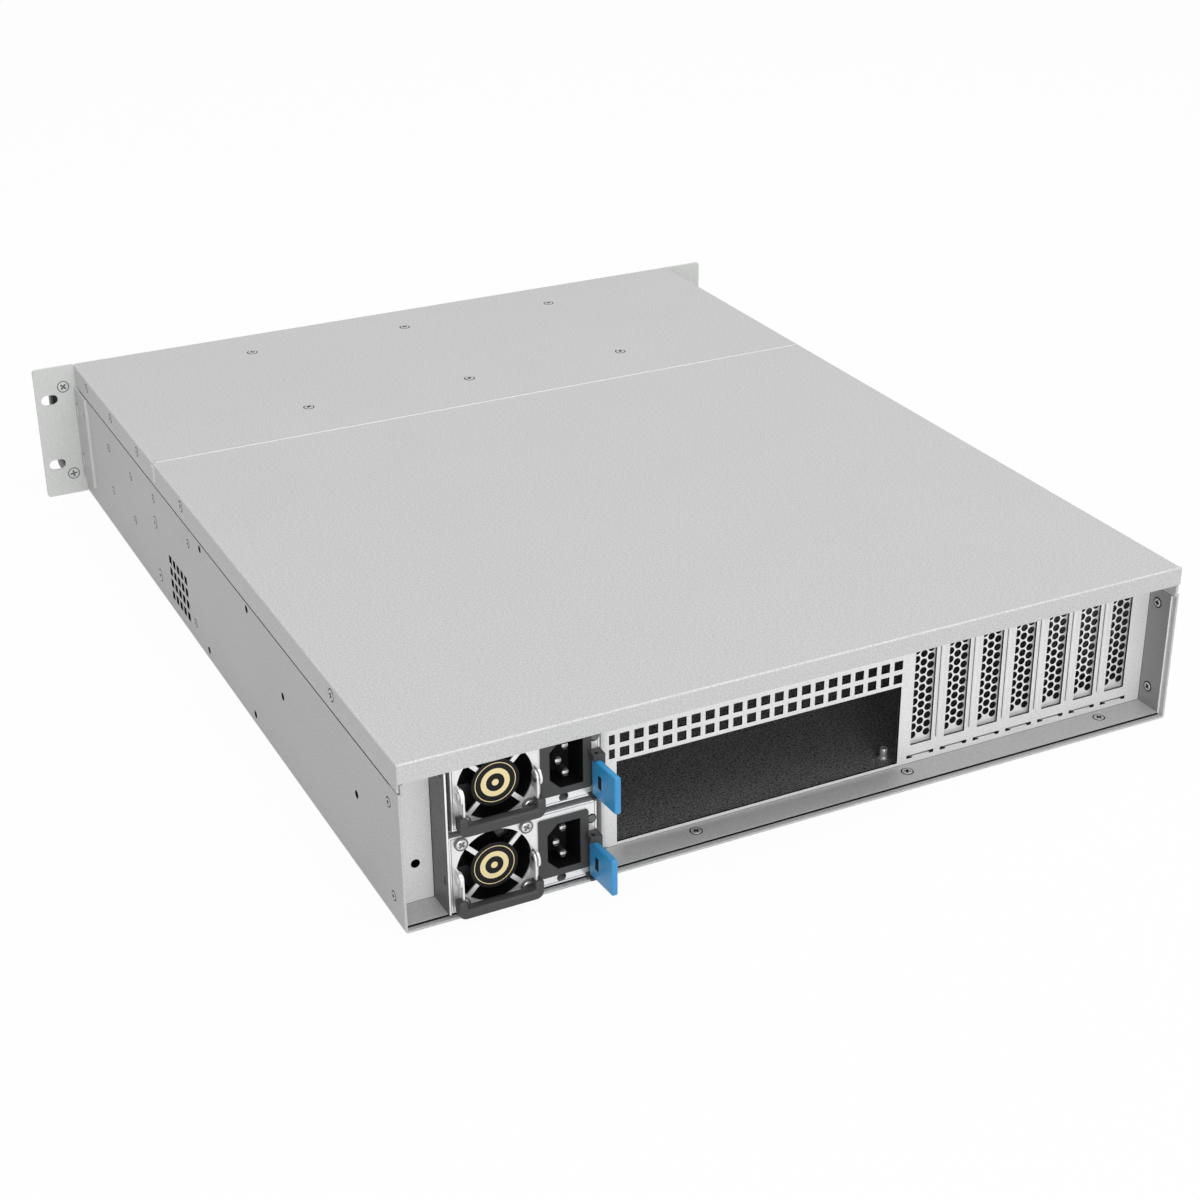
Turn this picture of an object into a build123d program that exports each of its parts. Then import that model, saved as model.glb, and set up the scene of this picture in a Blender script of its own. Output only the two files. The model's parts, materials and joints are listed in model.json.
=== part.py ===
from build123d import *
import os
from math import cos, radians, sin

# Two-unit rack server chassis without a system board: folded shell with two screwed covers,
# recessed rear panel with expansion slot covers, two stacked redundant power modules and a
# front cage of sliding drive carriers.
# Millimetres. Origin at the centre of the base's underside, +Y to the rear, +Z up.

# Shell
body_width = 430.0           # over the side walls
sheet = 1.2                  # base tray
cover_sheet = 1.0
cover_flange = 14.5          # depth of the covers' side flanges
cover_gap = 0.3              # cover flange to the wall behind it
seam_gap = 0.8               # cover flange edge to the wall's shoulder
front_cover_length = 182.0
cover_seam = 0.4             # between the two covers
rear_lip = 10.0              # depth of the rear cover's lip
bend = 1.5                   # outer bend radius

# Screws
screw_hole = 1.7             # radius of a clearance hole
screw_shank = 1.4
screw_head_height = 0.35     # of a head sunk in its dimple
top_head = 2.8               # head radii
flange_head = 2.3
cover_head = 2.8
wall_head = 2.0
stud_head = 3.2
cover_screw_depth = 5.5      # from the cover's top to the shelf edges below
cover_screw_rows = (32.6, 141.5)       # from the front edge
flange_screw_places = (31.4, 88.8, 147.8, 236.5, 477.7)
flange_screw_drop = 6.0      # below the cover's top
cage_screw_rows = (73.0, 123.2)        # from the cage's front edge
wall_screw_rise = 13.2       # lower wall screws above the underside
wall_screw_drop = 9.9        # upper wall screws below the shoulder
fan_screw_place = 4.5        # in front of the fan wall
board_screw_place = 7.3      # backplane's screws behind the cage
stud_place = 6.4
stud_drop = 25.4             # upper stud screw below the shoulder

# Open holes in the side walls
wall_hole = 2.2
wall_hole_rise = 7.0
wall_hole_drop = 19.0        # upper holes below the cover's top
wall_hole_middle = 43.3
fan_hole_place = 19.0        # behind the fan wall
board_hole_place = 349.4     # from the front edge
middle_hole_places = (401.0, 505.1)

# Wall vents
vent_square = 5.0
vent_pitch = 7.6
side_vent_front = 200.8      # first column from the front edge
side_vent_low = 11.4         # lowest row above the underside
side_vent_columns = 5
side_vent_rows = 4

# Rear panel
panel_recess = 19.0
panel_sheet = 1.0
panel_flange = 16.0          # rearward flanges at the floor and the walls
panel_fit = 0.2              # panel edge to wall
panel_bend = 5.0             # bend beside the power bay
panel_bay_flange = 12.0
bay_shoulder = 12.8          # start of that bend to the bay
foot_hole_near = 39.5        # from the board opening's bay side
foot_hole_middle = 160.8
foot_hole_far = 31.8         # from the far wall
ear_hole = 2.25
ear_hole_inset = 12.3        # from the near wall
ear_hole_z = 22.5
panel_screw_inset = 12.5     # from the rear edge

# Board rear opening and its vents
io_width = 158.75
io_height = 44.45
io_bay_gap = 16.7            # power bay to the opening
io_bottom = 3.9
io_vent_rows = 3
io_vent_gap = 2.2            # opening to the lowest row

# Expansion slots
slot_pitch = 20.32
slot_io_gap = 13.75          # board opening to the first slot's centre
slot_wall_gap = 16.0         # least room from the last slot's centre to the wall
slot_opening = 12.5
slot_low = 12.5
slot_shelf_drop = 6.6        # shelf that carries the cover tabs, below the cover sheet
slot_shelf_depth = 12.0
slot_shelf_side = 2.0        # shelf's reach beside the first slot
slot_shelf_bar = 3.0         # left between the shelf and the openings
slot_cover_sheet = 0.8
slot_cover_width = 18.4
slot_tab_width = 10.2
slit_width = 16.3
slit_height = 1.8
slit_low = 5.0
perforation = 1.95           # radius over the corners
perforation_pitch = 4.8
perforation_columns = 4.2
perforation_low = 5.0        # first row above the opening's edge
perforation_high = 3.5       # last row below it
rib_width = 3.0
rib_proud = 0.6

# Power modules
psu_height = 40.0
psu_depth = 185.0
bay_wall_gap = 20.8          # power bay to the side wall
psu_inset = 2.0              # module face to the shell's rear edge
psu_play = 0.3               # under each module
psu_side_play = 1.4          # between a centred module and the bay's sides
psu_rest = (0.9, -0.9)       # lower and upper module lean to opposite sides
psu_sheet = 0.8
psu_well = 31.0              # depth of the fan and inlet space
cage_sheet = 1.0
shelf_gap = 1.7              # lower module to the shelf above it
shelf_sheet = 1.2
cage_wall_inset = 1.0        # outer wall's rear edge to the shell's rear edge
cage_slot_rise = 19.0        # lower slot above the underside
cage_slot_drop = 12.0        # upper slot below the cover's top
tongue_width = 56.0
tongue_length = 8.0
tongue_sheet = 1.6
socket_play = 0.3

# Module face
fan_side_gap = 1.7           # fan frame to the module's housing
fan_inlet_gap = 2.3          # inlet surround to the handle's lug
fan_depth = 28.0
fan_rim = 0.3                # least wall of the fan frame
guard_lap = 0.2              # face sheet over the fan frame's edge
guard_hub = 11.2
guard_spoke = 2.2
rotor_hub = 9.5
tip_gap = 0.9
rotor_blades = 7
rotor_chord = 11.0
shaft = 1.5
shaft_play = 0.05
inlet_x = 17.1
inlet_width = 25.4
inlet_height = 31.4
inlet_proud = 0.8
inlet_lift = 0.7             # inlet centre above the module's middle
inlet_body = 1.5             # surround edge to body side
inlet_depth = 20.0
socket_width = 16.8
socket_height = 24.4
socket_chamfer = 5.2
socket_depth = 15.6
pin_width = 2.0
pin_height = 4.0
pin_length = 12.0
pin_pitch = 7.0
earth_offset = 3.5
lamp_x = 2.2
lamp_z = 30.6
lamp_radius = 1.9
notch_x = 18.3
notch_z = 2.9
notch_radius = 2.4

# Module handle and latch
pivot_out = 3.5              # pivot from the module face
lug_radius = 4.2
lug_sheet = 1.0
lug_gap = 0.2                # fan opening to a lug
arm_width = 6.4
arm_play = 0.3
grip_leg = 4.5
grip_bar = 5.0
grip_depth = 6.0
grip_out = 2.6
grip_top = 10.0
grip_bottom = 0.3
grip_corner = 4.0
grip_chamfer = 1.2
latch_thick = 3.2
latch_length = 20.0
latch_flare = 1.2            # how far the tip leans away from the inlet
latch_rounding = 1.4
window_out = 5.6             # pivot to the window's middle
window_width = 3.2
window_height = 7.0
window_depth = 1.4
latch_pin = 1.0
latch_pivot_x = 3.8
latch_pivot_out = 4.2
cheek_low = 0.6
cheek_top = 24.3
lug_top_thick = 3.0
lug_foot_thick = 1.2
latch_play = 0.3             # latch to the lugs above and below
cheek_reach = 6.5

# Drive cage and carriers
cage_depth = 166.0
cage_front = 2.0             # cage edge behind the shell's front edge
divider = 1.0
bay_columns = 4
bay_rows = 3
bay_shelf = 0.8
carrier_play = 0.4
carrier_proud = 3.0
bezel_depth = 12.0
carrier_depth = 162.0
rail_height = 20.0
rail_sheet = 1.2
lever_length = 88.0
lever_height = 8.2
lever_thick = 3.7
lever_recess = 4.0
lever_low = 2.4
lever_hinge_inset = 8.0
lever_tip_hook = 2.2
lever_play = 0.4
grille_slots = 6
grille_side = 7.0            # bezel's end to the grille
grille_bar = 3.2
grille_rise = 3.0            # lever to the grille
grille_rim = 2.0
tray_side = 14.0             # floor left beside the tray's window
tray_end = 22.0
backplane_sheet = 1.6
backplane_side = 4.0
plug_start = 36.0            # drive connector from the bay's centre
plug_width = 42.0
plug_rise = 4.0
plug_height = 5.5
plug_depth = 5.0
air_slot_width = 12.0        # vents in the backplane
air_slot_height = 16.0
air_slot_offset = 14.0

# Fan row
fan_floor_gap = 2.0
fan_top_gap = 3.8
fan_row_gap = 25.0
fan_row_depth = 38.0
fan_row_count = 3
fan_wall_front = 249.0       # from the shell's front edge
fan_wall_sheet = 1.0
fan_wall_foot = 9.0
big_rim = 2.0
big_tip_gap = 2.6
big_hub = 19.0
big_blades = 7
big_chord = 24.0
big_shaft = 2.5
cable_window_width = 26.0
cable_window_height = 16.0
cable_window_corner = 4.0
cable_window_inset = 22.0    # its centre to the wall
cable_window_rise = 24.0

# Fan blades
blade_thick = 0.9
blade_pitch = 42.0

# Board tray
liner_sheet = 0.5
standoff_height = 6.5
standoff_across = 5.5
standoff_hole = 1.25
standoff_room = 1.5          # film's hole round a standoff
liner_side_gap = 6.0
liner_bay_lap = 4.0          # film past the board opening's bay side
liner_front_gap = 22.0
liner_rear_gap = 2.0
board_column_inset = 0.3     # first column of standoffs from the opening's bay side
board_column_span = 157.5    # first column to the second
board_far_inset = 30.5       # last column to the far wall
board_rear_inset = 11.0      # rear row of standoffs to the panel
board_middle_row = 154.94    # from the rear row
board_front_row = 227.33
board_front_gap = 53.67      # front row of standoffs to the fan wall
board_thick = 1.6
board_plug_gap = 7.6         # power board to the ends of the modules' tongues

# Rack ears, pull handles and the control module
ear_width = 26.3             # beyond the side wall
ear_sheet = 1.6
ear_flange = 28.0
ear_flange_low = 12.0
ear_slot_rise = 12.0         # flange's screw slots from its two ends
ear_slot_drop = 12.7
rack_hole_inset = 8.75       # rack hole centre to the ear's outer edge
rack_hole_rise = 44.45
rack_slot_length = 10.8
rack_slot_height = 6.8
pull_x = 8.0                 # pull handle centre from the side wall
pull_span = 60.0
pull_reach = 30.0
pull_bar = 8.0
module_margin = 2.3          # ear's width left beside the control module
module_height = 24.0
module_thick = 5.0
button_radius = 3.5
button_play = 0.3
button_proud = 0.8
button_travel = 1.0

# Derived places
body_depth = fan_wall_front + board_front_gap + board_front_row + board_rear_inset + panel_recess
lower_floor = sheet + cage_sheet + psu_play
shelf_low = lower_floor + psu_height + shelf_gap
upper_floor = shelf_low + shelf_sheet + psu_play
body_height = upper_floor + psu_height + psu_play + cage_sheet + cover_sheet
half_width = body_width / 2
rear = body_depth / 2
front = -rear
under_cover = body_height - cover_sheet
wall_inner = half_width - sheet
joggle = cover_sheet + cover_gap
shoulder = body_height - cover_flange - seam_gap
upper_inner = wall_inner - joggle
panel_face = rear - panel_recess
panel_back = panel_face - panel_sheet
panel_foot = sheet + panel_sheet
panel_half = wall_inner - panel_fit
panel_top = under_cover - panel_fit
psu_face = rear - psu_inset
psu_middle = psu_height / 2
fan_side = psu_height - 2 * psu_sheet - 0.2
fan_bore = fan_side / 2 - fan_rim
fan_opening = fan_bore - guard_lap
rotor_tip = fan_bore - tip_gap
lug_half_span = fan_opening + lug_gap
fan_x = inlet_x + inlet_width / 2 + fan_inlet_gap + lug_sheet + lug_half_span
psu_width = fan_x + fan_side / 2 + fan_side_gap + psu_sheet
bay_left = wall_inner - bay_wall_gap - cage_sheet
psu_right = bay_left - psu_side_play - psu_width
bay_right = psu_right - psu_side_play
psu_inner_end = psu_face - psu_depth
board_plane = psu_inner_end - tongue_length - board_plug_gap
psu_places = [(psu_right + lean, floor) for lean, floor in zip(psu_rest, (lower_floor, upper_floor))]
inlet_centre_z = psu_middle + inlet_lift
io_left = bay_right - io_bay_gap
io_right = io_left - io_width
bay_side = bay_right - bay_shoulder
io_vent_columns = int((bay_side - io_right) / vent_pitch + 0.6)
slot_first = io_right - slot_io_gap
slot_count = int((slot_first + wall_inner - slot_wall_gap) / slot_pitch) + 1
slot_shelf = under_cover - slot_shelf_drop
slot_top = slot_shelf - panel_sheet - slot_shelf_bar
slot_side = slot_first + slot_pitch / 2 + slot_shelf_side
perforation_room = slot_top - slot_low - perforation_low - perforation_high
perforation_rows = int((perforation_room - perforation_pitch / 2) / perforation_pitch) + 1
seam = front + front_cover_length
cage_half = upper_inner - divider
column_pitch = (2 * cage_half + divider) / bay_columns
bay_width = column_pitch - divider
cage_start = front + cage_front
cage_end = cage_start + cage_depth
cage_top = under_cover - divider
row_pitch = (cage_top - sheet + bay_shelf) / bay_rows
carrier_width = bay_width - 2 * carrier_play
carrier_height = row_pitch - bay_shelf - 2 * carrier_play
bezel_front = front - carrier_proud
fan_wall_y = front + fan_wall_front
fan_size = under_cover - sheet - fan_floor_gap - fan_top_gap
fan_row_pitch = fan_size + fan_row_gap
big_bore = fan_size / 2 - big_rim
big_tip = big_bore - big_tip_gap
rack_width = body_width + 2 * ear_width
rack_hole_span = rack_width - 2 * rack_hole_inset
module_width = ear_width - module_margin
ear_front = front + 0.4 - ear_sheet
ear_middle = body_height / 2


def along_y(profile, start, end):
    """Extrude a profile drawn in X and Z from start to end along Y."""
    plane = Plane((0, start, 0), x_dir=(1, 0, 0), z_dir=(0, -1, 0))
    return extrude(plane * profile, start - end)


def along_x(profile, start, end):
    """Extrude a profile drawn in Y and Z from start to end along X."""
    plane = Plane((start, 0, 0), x_dir=(0, 1, 0), z_dir=(1, 0, 0))
    return extrude(plane * profile, end - start)


def along_z(profile, start, end):
    """Extrude a profile drawn in X and Y from start to end along Z."""
    return extrude(Plane((0, 0, start)) * profile, end - start)


def area(low_a, high_a, low_b, high_b):
    """Rectangle between two corners."""
    middle = Pos((low_a + high_a) / 2, (low_b + high_b) / 2)
    return middle * Rectangle(high_a - low_a, high_b - low_b)


def outline(points):
    """Closed straight-sided face."""
    return make_face(Polyline(*points, close=True))


def both_sides(points):
    """Outline of a half given from the centre line outwards, joined to its mirror image."""
    mirrored = [(-x, z) for x, z in reversed(points)]
    return outline(points + mirrored)


def tray_profile():
    """Section of the base: floor, walls and the step that the cover flanges lie in."""
    half = [
        (0, 0), (half_width, 0), (half_width, shoulder),
        (half_width - joggle, shoulder), (half_width - joggle, under_cover),
        (upper_inner, under_cover), (upper_inner, shoulder - sheet),
        (wall_inner, shoulder - sheet), (wall_inner, sheet), (0, sheet),
    ]
    return both_sides(half[1:-1])


def side_hole_face():
    """Holes that both walls have, drawn in Y and Z."""
    holes = Sketch()
    for y, z in wall_screw_spots() + cage_screw_spots() + flange_screw_spots() + stud_spots():
        holes += Pos(y, z) * RegularPolygon(screw_hole, 4)
    for y, z in wall_hole_spots():
        holes += Pos(y, z) * RegularPolygon(wall_hole, 8)
    return holes


def wall_hole_spots():
    """Open holes behind the fans and along the board, in Y and Z."""
    spots = [(front + place, wall_hole_middle) for place in middle_hole_places]
    for y in (fan_wall_y + fan_hole_place, front + board_hole_place):
        spots += [(y, wall_hole_rise), (y, body_height - wall_hole_drop)]
    return spots


def wall_screw_spots():
    """Screws of the backplane, the fan wall and the rear panel, in Y and Z."""
    spots = [(cage_end + board_screw_place, shoulder - wall_screw_drop)]
    for z in wall_screw_heights():
        spots.append((fan_wall_y - fan_screw_place, z))
        spots.append((rear - panel_screw_inset, z))
    return spots


def wall_screw_heights():
    return (wall_screw_rise, shoulder - wall_screw_drop)


def cage_screw_spots():
    """Screws into the ends of the cage's shelves, in Y and Z."""
    spots = []
    for place in cage_screw_rows:
        for k in range(1, bay_rows):
            spots.append((cage_start + place, sheet + row_pitch * k - bay_shelf))
    return spots


def stud_spots():
    """Larger screws of the backplane's bracket, in Y and Z."""
    return [(cage_end + stud_place, z) for z in (wall_screw_rise, shoulder - stud_drop)]


def flange_screw_spots():
    """Screws through the covers' side flanges, in Y and Z."""
    z = body_height - flange_screw_drop
    return [(front + place, z) for place in flange_screw_places]


def side_vents():
    """Square vents in the side walls, drawn in Y and Z."""
    squares = Sketch()
    for column in range(side_vent_columns):
        for row in range(side_vent_rows):
            y = front + side_vent_front + column * vent_pitch
            z = side_vent_low + row * vent_pitch
            squares += Pos(y, z) * Rectangle(vent_square, vent_square)
    return squares


def make_base():
    tray = along_y(tray_profile(), front, rear)
    corners = tray.edges().filter_by(Axis.Y).group_by(Axis.Z)[0]
    tray = fillet(corners, bend)
    tray -= along_x(side_hole_face() + side_vents(), -half_width - 1, half_width + 1)
    lip_room = area(-half_width, half_width, body_height - rear_lip - 0.5, body_height)
    return tray - along_y(lip_room, rear - cover_sheet - 0.3, rear + 1)


def cover_profile():
    """Section of a cover: flat top and two side flanges."""
    low = body_height - cover_flange
    inner = half_width - cover_sheet
    half = [(half_width, low), (half_width, body_height)]
    back = [(-half_width, body_height), (-half_width, low), (-inner, low), (-inner, under_cover)]
    return outline(half + back + [(inner, under_cover), (inner, low)])


def cover_shell(start, end):
    shell = along_y(cover_profile(), start, end)
    corners = shell.edges().filter_by(Axis.Y).group_by(Axis.Z)[-1]
    shell = fillet(corners, bend)
    for y, z in flange_screw_spots():
        if start < y < end:
            hole = Pos(y, z) * RegularPolygon(screw_hole, 4)
            shell -= along_x(hole, -half_width - 1, half_width + 1)
    return shell


def top_screw_spots():
    """Cover screws over the cage's dividers."""
    spots = []
    for place in cover_screw_rows:
        for column in (-1, 0, 1):
            spots.append((column * column_pitch, front + place))
    return spots


def make_front_cover():
    shell = cover_shell(front, seam)
    holes = Sketch()
    for x, y in top_screw_spots():
        holes += Pos(x, y) * RegularPolygon(screw_hole, 4)
    return shell - along_z(holes, under_cover - 1, body_height + 1)


def make_rear_cover():
    shell = cover_shell(seam + cover_seam, rear - cover_sheet)
    lip = along_y(area(-half_width, half_width, body_height - rear_lip, body_height),
                  rear - cover_sheet, rear)
    shell += lip
    edge = shell.edges().filter_by(Axis.X).group_by(Axis.Y)[-1].sort_by(Axis.Z)[-1]
    return fillet(edge, cover_sheet * 0.9)


def slot_centres():
    return [slot_first - k * slot_pitch for k in range(slot_count)]


def panel_face_profile():
    """Rear view outline of the panel beside the power bay, with all of its openings."""
    step = panel_half - joggle
    face = outline([
        (-panel_half, sheet), (bay_side, sheet), (bay_side, panel_top),
        (slot_side, panel_top), (slot_side, slot_shelf),
        (-step, slot_shelf), (-step, shoulder - sheet), (-panel_half, shoulder - sheet),
    ])
    face -= area(io_right, io_left, io_bottom, io_bottom + io_height)
    right_vent = io_right + vent_square / 2
    for column in range(io_vent_columns):
        for row in range(io_vent_rows):
            x = right_vent + column * vent_pitch
            z = io_bottom + io_height + io_vent_gap + vent_square / 2 + row * vent_pitch
            face -= Pos(x, z) * Rectangle(vent_square, vent_square)
    for x in slot_centres():
        half = slot_opening / 2
        face -= area(x - half, x + half, slot_low, slot_top)
        face -= area(x - slit_width / 2, x + slit_width / 2, slit_low, slit_low + slit_height)
    return face


def panel_ear_profile():
    """Rear view outline of the panel's strip between the power bay and the wall."""
    step = panel_half - joggle
    inner = bay_left + cage_sheet + panel_fit
    ear = outline([
        (inner, sheet), (panel_half, sheet), (panel_half, shoulder - sheet),
        (step, shoulder - sheet), (step, panel_top), (inner, panel_top),
    ])
    return ear - Pos(wall_inner - ear_hole_inset, ear_hole_z) * Circle(ear_hole)


def panel_side_flanges():
    """Rearward flanges that lie on the walls and take the wall screws."""
    flange = area(panel_back, panel_face + panel_flange, sheet, shoulder - sheet - 1)
    for z in wall_screw_heights():
        flange -= Pos(rear - panel_screw_inset, z) * RegularPolygon(screw_hole, 8)
    inner = wall_inner - panel_sheet
    return along_x(flange, inner, wall_inner) + along_x(flange, -wall_inner, -inner)


def panel_bay_bend():
    """Rounded fold and forward flange where the panel meets the power bay."""
    start = bay_side
    centre = panel_face - panel_bend
    ring = Circle(panel_bend) - Circle(panel_bend - panel_sheet)
    quarter = Pos(start, centre) * (ring & area(0, panel_bend, 0, panel_bend))
    outer = start + panel_bend
    flange = area(outer - panel_sheet, outer, centre - panel_bay_flange, centre)
    return along_z(quarter + flange, sheet, panel_top)


def make_rear_panel():
    panel = along_y(panel_face_profile() + panel_ear_profile(), panel_back, panel_face)
    foot = area(-wall_inner, wall_inner, panel_back, panel_face + panel_flange)
    for x in (io_left - foot_hole_near, io_left - foot_hole_middle, foot_hole_far - wall_inner):
        foot -= Pos(x, rear - panel_screw_inset) * RegularPolygon(screw_hole, 8)
    panel += along_z(foot, sheet, panel_foot)
    panel += panel_side_flanges()
    panel += panel_bay_bend()
    shelf = area(-(panel_half - joggle), slot_side, panel_back, panel_face + slot_shelf_depth)
    panel += along_z(shelf, slot_shelf - panel_sheet, slot_shelf)
    for x in slot_centres()[:-1]:
        middle = x - slot_pitch / 2
        rib = area(middle - rib_width / 2, middle + rib_width / 2,
                   slot_low + 1.5, slot_top - 1)
        panel += along_y(rib, panel_face, panel_face + rib_proud)
    return panel


def slot_cover_profile():
    """Rear view of one slot cover with its staggered perforations."""
    top = slot_shelf + slot_cover_sheet
    plate = area(-slot_cover_width / 2, slot_cover_width / 2, slit_low + slit_height + 0.6, top)
    foot = area(-slot_tab_width / 2, slot_tab_width / 2, sheet + panel_sheet, slit_low + 3)
    plate += foot
    holes = Sketch()
    for column in (-1, 0, 1):
        stagger = perforation_pitch / 2 if column == 0 else 0
        for row in range(perforation_rows):
            z = slot_low + perforation_low + stagger + row * perforation_pitch
            holes += Pos(column * perforation_columns, z) * RegularPolygon(perforation, 4)
    return plate - holes


def make_slot_covers():
    """One perforated bracket behind each slot opening, hung from its tab on the shelf."""
    behind = panel_back - slot_cover_sheet
    plate = along_y(slot_cover_profile(), behind, panel_back)
    shelf_end = panel_face + slot_shelf_depth
    tab = area(-slot_cover_width / 2, slot_cover_width / 2, behind, shelf_end)
    cover = plate + along_z(tab, slot_shelf, slot_shelf + slot_cover_sheet)
    half = slot_tab_width / 2
    peg = area(-half, half, slit_low + 0.4, slit_low + 0.4 + slot_cover_sheet)
    cover += along_y(peg, panel_back, panel_face + 0.8)
    return Compound([Pos(x, 0, 0) * cover for x in slot_centres()])


def make_psu_cage():
    """Two-storey bay: floor, walls, middle shelf and top, open to the rear."""
    left = bay_left + cage_sheet
    right = bay_right - cage_sheet
    ring = area(right, left, sheet, under_cover)
    ring -= area(bay_right, bay_left, sheet + cage_sheet, shelf_low)
    ring -= area(bay_right, bay_left, shelf_low + shelf_sheet, under_cover - cage_sheet)
    cage = along_y(ring, board_plane, panel_back)
    shelf = area(bay_right, bay_left, shelf_low, shelf_low + shelf_sheet)
    cage += along_y(shelf, panel_back, psu_face - 2)
    wall_end = rear - cage_wall_inset
    wall = area(panel_back, wall_end, panel_foot, body_height - rear_lip - 0.5)
    wall += area(panel_back, rear - cover_sheet - 1, body_height - rear_lip - 1, under_cover - 0.3)
    for z in (cage_slot_rise, body_height - cage_slot_drop):
        wall -= Pos(wall_end - 4, z) * SlotOverall(5.0, 1.8, rotation=90)
    cage += along_x(wall, bay_left, left)
    return cage


def make_power_board():
    """Upright board at the inner end of the bays with one edge socket for each module."""
    face = area(bay_right, bay_left, sheet + cage_sheet, under_cover - cage_sheet)
    board = along_y(face, board_plane - board_thick, board_plane)
    for right, floor in psu_places:
        middle = right + psu_width / 2
        z = floor + psu_height / 2
        body = Pos(middle, z) * Rectangle(tongue_width + 6, 9)
        mouth = Pos(middle, z) * Rectangle(tongue_width + 2 * socket_play,
                                           tongue_sheet + 2 * socket_play)
        socket = along_y(body, board_plane, psu_inner_end - 0.6)
        socket -= along_y(mouth, psu_inner_end - tongue_length - 0.6, psu_inner_end)
        board += socket
    return board


def psu_case(right, floor):
    """Module housing: closed body, open well at the face and the edge connector's tongue."""
    left = right + psu_width
    section = area(right, left, floor, floor + psu_height)
    case = along_y(section, psu_inner_end, psu_face)
    well = area(right + psu_sheet, left - psu_sheet,
                floor + psu_sheet, floor + psu_height - psu_sheet)
    case -= along_y(well, psu_face - psu_well, psu_face)
    middle = (left + right) / 2
    tongue = Pos(middle, floor + psu_height / 2) * Rectangle(tongue_width, tongue_sheet)
    return case + along_y(tongue, psu_inner_end - tongue_length, psu_inner_end)


def psu_lug(side, right, floor):
    """Ear folded out of the face beside the fan opening, with the handle's pivot bore."""
    inner = right + fan_x + side * lug_half_span
    outer = inner + side * lug_sheet
    y = psu_face + pivot_out
    z = floor + psu_middle
    ear = area(psu_face - psu_sheet, y, z - lug_radius, z + lug_radius)
    ear += Pos(y, z) * Circle(lug_radius)
    ear -= Pos(y, z) * Circle(shaft + shaft_play)
    return along_x(ear, min(inner, outer), max(inner, outer))


def psu_face_plate(right, floor):
    """Sheet face with the finger guard stamped in it, the inlet opening and the handle lugs."""
    inset = psu_sheet + 0.3
    plate = area(right + inset, right + psu_width - inset, floor + inset, floor + psu_height - inset)
    fan_centre = Pos(right + fan_x, floor + psu_middle)
    guard = fan_centre * Circle(guard_hub)
    for turn in (45, 135):
        guard += fan_centre * Rot(0, 0, turn) * Rectangle(2 * fan_opening + 2, guard_spoke)
    plate = plate - fan_centre * Circle(fan_opening) + guard
    plate -= (Pos(right + inlet_x, floor + inlet_centre_z)
              * Rectangle(inlet_width - 2 * inlet_body + 0.4, inlet_height - 2 * inlet_body + 0.4))
    plate -= Pos(right + notch_x, floor + notch_z) * Circle(notch_radius)
    face = along_y(plate, psu_face - psu_sheet, psu_face)
    return face + psu_lug(1, right, floor) + psu_lug(-1, right, floor)


def fan_frame(size, bore, hub, shaft_bore, start, end):
    """Square fan housing about the origin, with a strutted motor base at its start."""
    housing = along_y(Rectangle(size, size) - Circle(bore), start, end)
    base = Circle(hub) - Circle(shaft_bore)
    spider = Circle(hub)
    for turn in (0, 120, 240):
        reach = (bore + size / 2) / 2
        spider += Rot(0, 0, turn) * Pos(reach / 2, 0) * Rectangle(reach, bore / 8)
    spider -= Circle(shaft_bore)
    housing += along_y(spider, start, start + 2.5)
    return housing + along_y(base, start + 2.5, start + 4)


def blade(root, tip, chord, middle):
    """One cambered blade, drawn out along X from inside the hub to its tip."""
    radius = 1.5 * chord
    ring = Circle(radius + blade_thick / 2) - Circle(radius - blade_thick / 2)
    section = (Pos(radius, 0) * ring) & (Pos(chord / 4, 0) * Rectangle(chord / 2 + 2, chord))
    plane = Plane((root, middle, 0), x_dir=(0, 1, 0), z_dir=(1, 0, 0))
    return extrude(plane * Rot(0, 0, blade_pitch) * section, tip - root)


def fan_rotor(hub, tip, blades, chord, stub, start, end):
    """Hub, shaft and round-tipped blades about the Y axis through the origin."""
    one = blade(hub - chord / 8, tip, chord, (start + end) / 2)
    one = one & along_y(Circle(tip), start, end)
    rotor = along_y(Circle(hub), start, end) + along_y(Circle(stub), start - 4, start)
    for k in range(blades):
        rotor += Rot(0, 360.0 * k / blades, 0) * one
    return rotor


def psu_fan_parts(right, floor):
    """Frame and rotor of a module's fan, behind the guard."""
    x = right + fan_x
    z = floor + psu_middle
    start = psu_face - psu_sheet - fan_depth
    end = psu_face - psu_sheet
    frame = fan_frame(fan_side, fan_bore, rotor_hub, shaft + shaft_play, start, end)
    rotor = fan_rotor(rotor_hub, rotor_tip, rotor_blades, rotor_chord, shaft, start + 4.5, end - 4)
    return Pos(x, 0, z) * frame, Pos(x, 0, z) * rotor


def socket_outline(grow=0.0):
    """Three-pin inlet opening with its two cut corners."""
    a = socket_width / 2 + grow
    b = socket_height / 2 + grow
    c = socket_chamfer
    return outline([(-a, -b), (a - c, -b), (a, c - b), (a, b - c), (a - c, b), (-a, b)])


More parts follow.
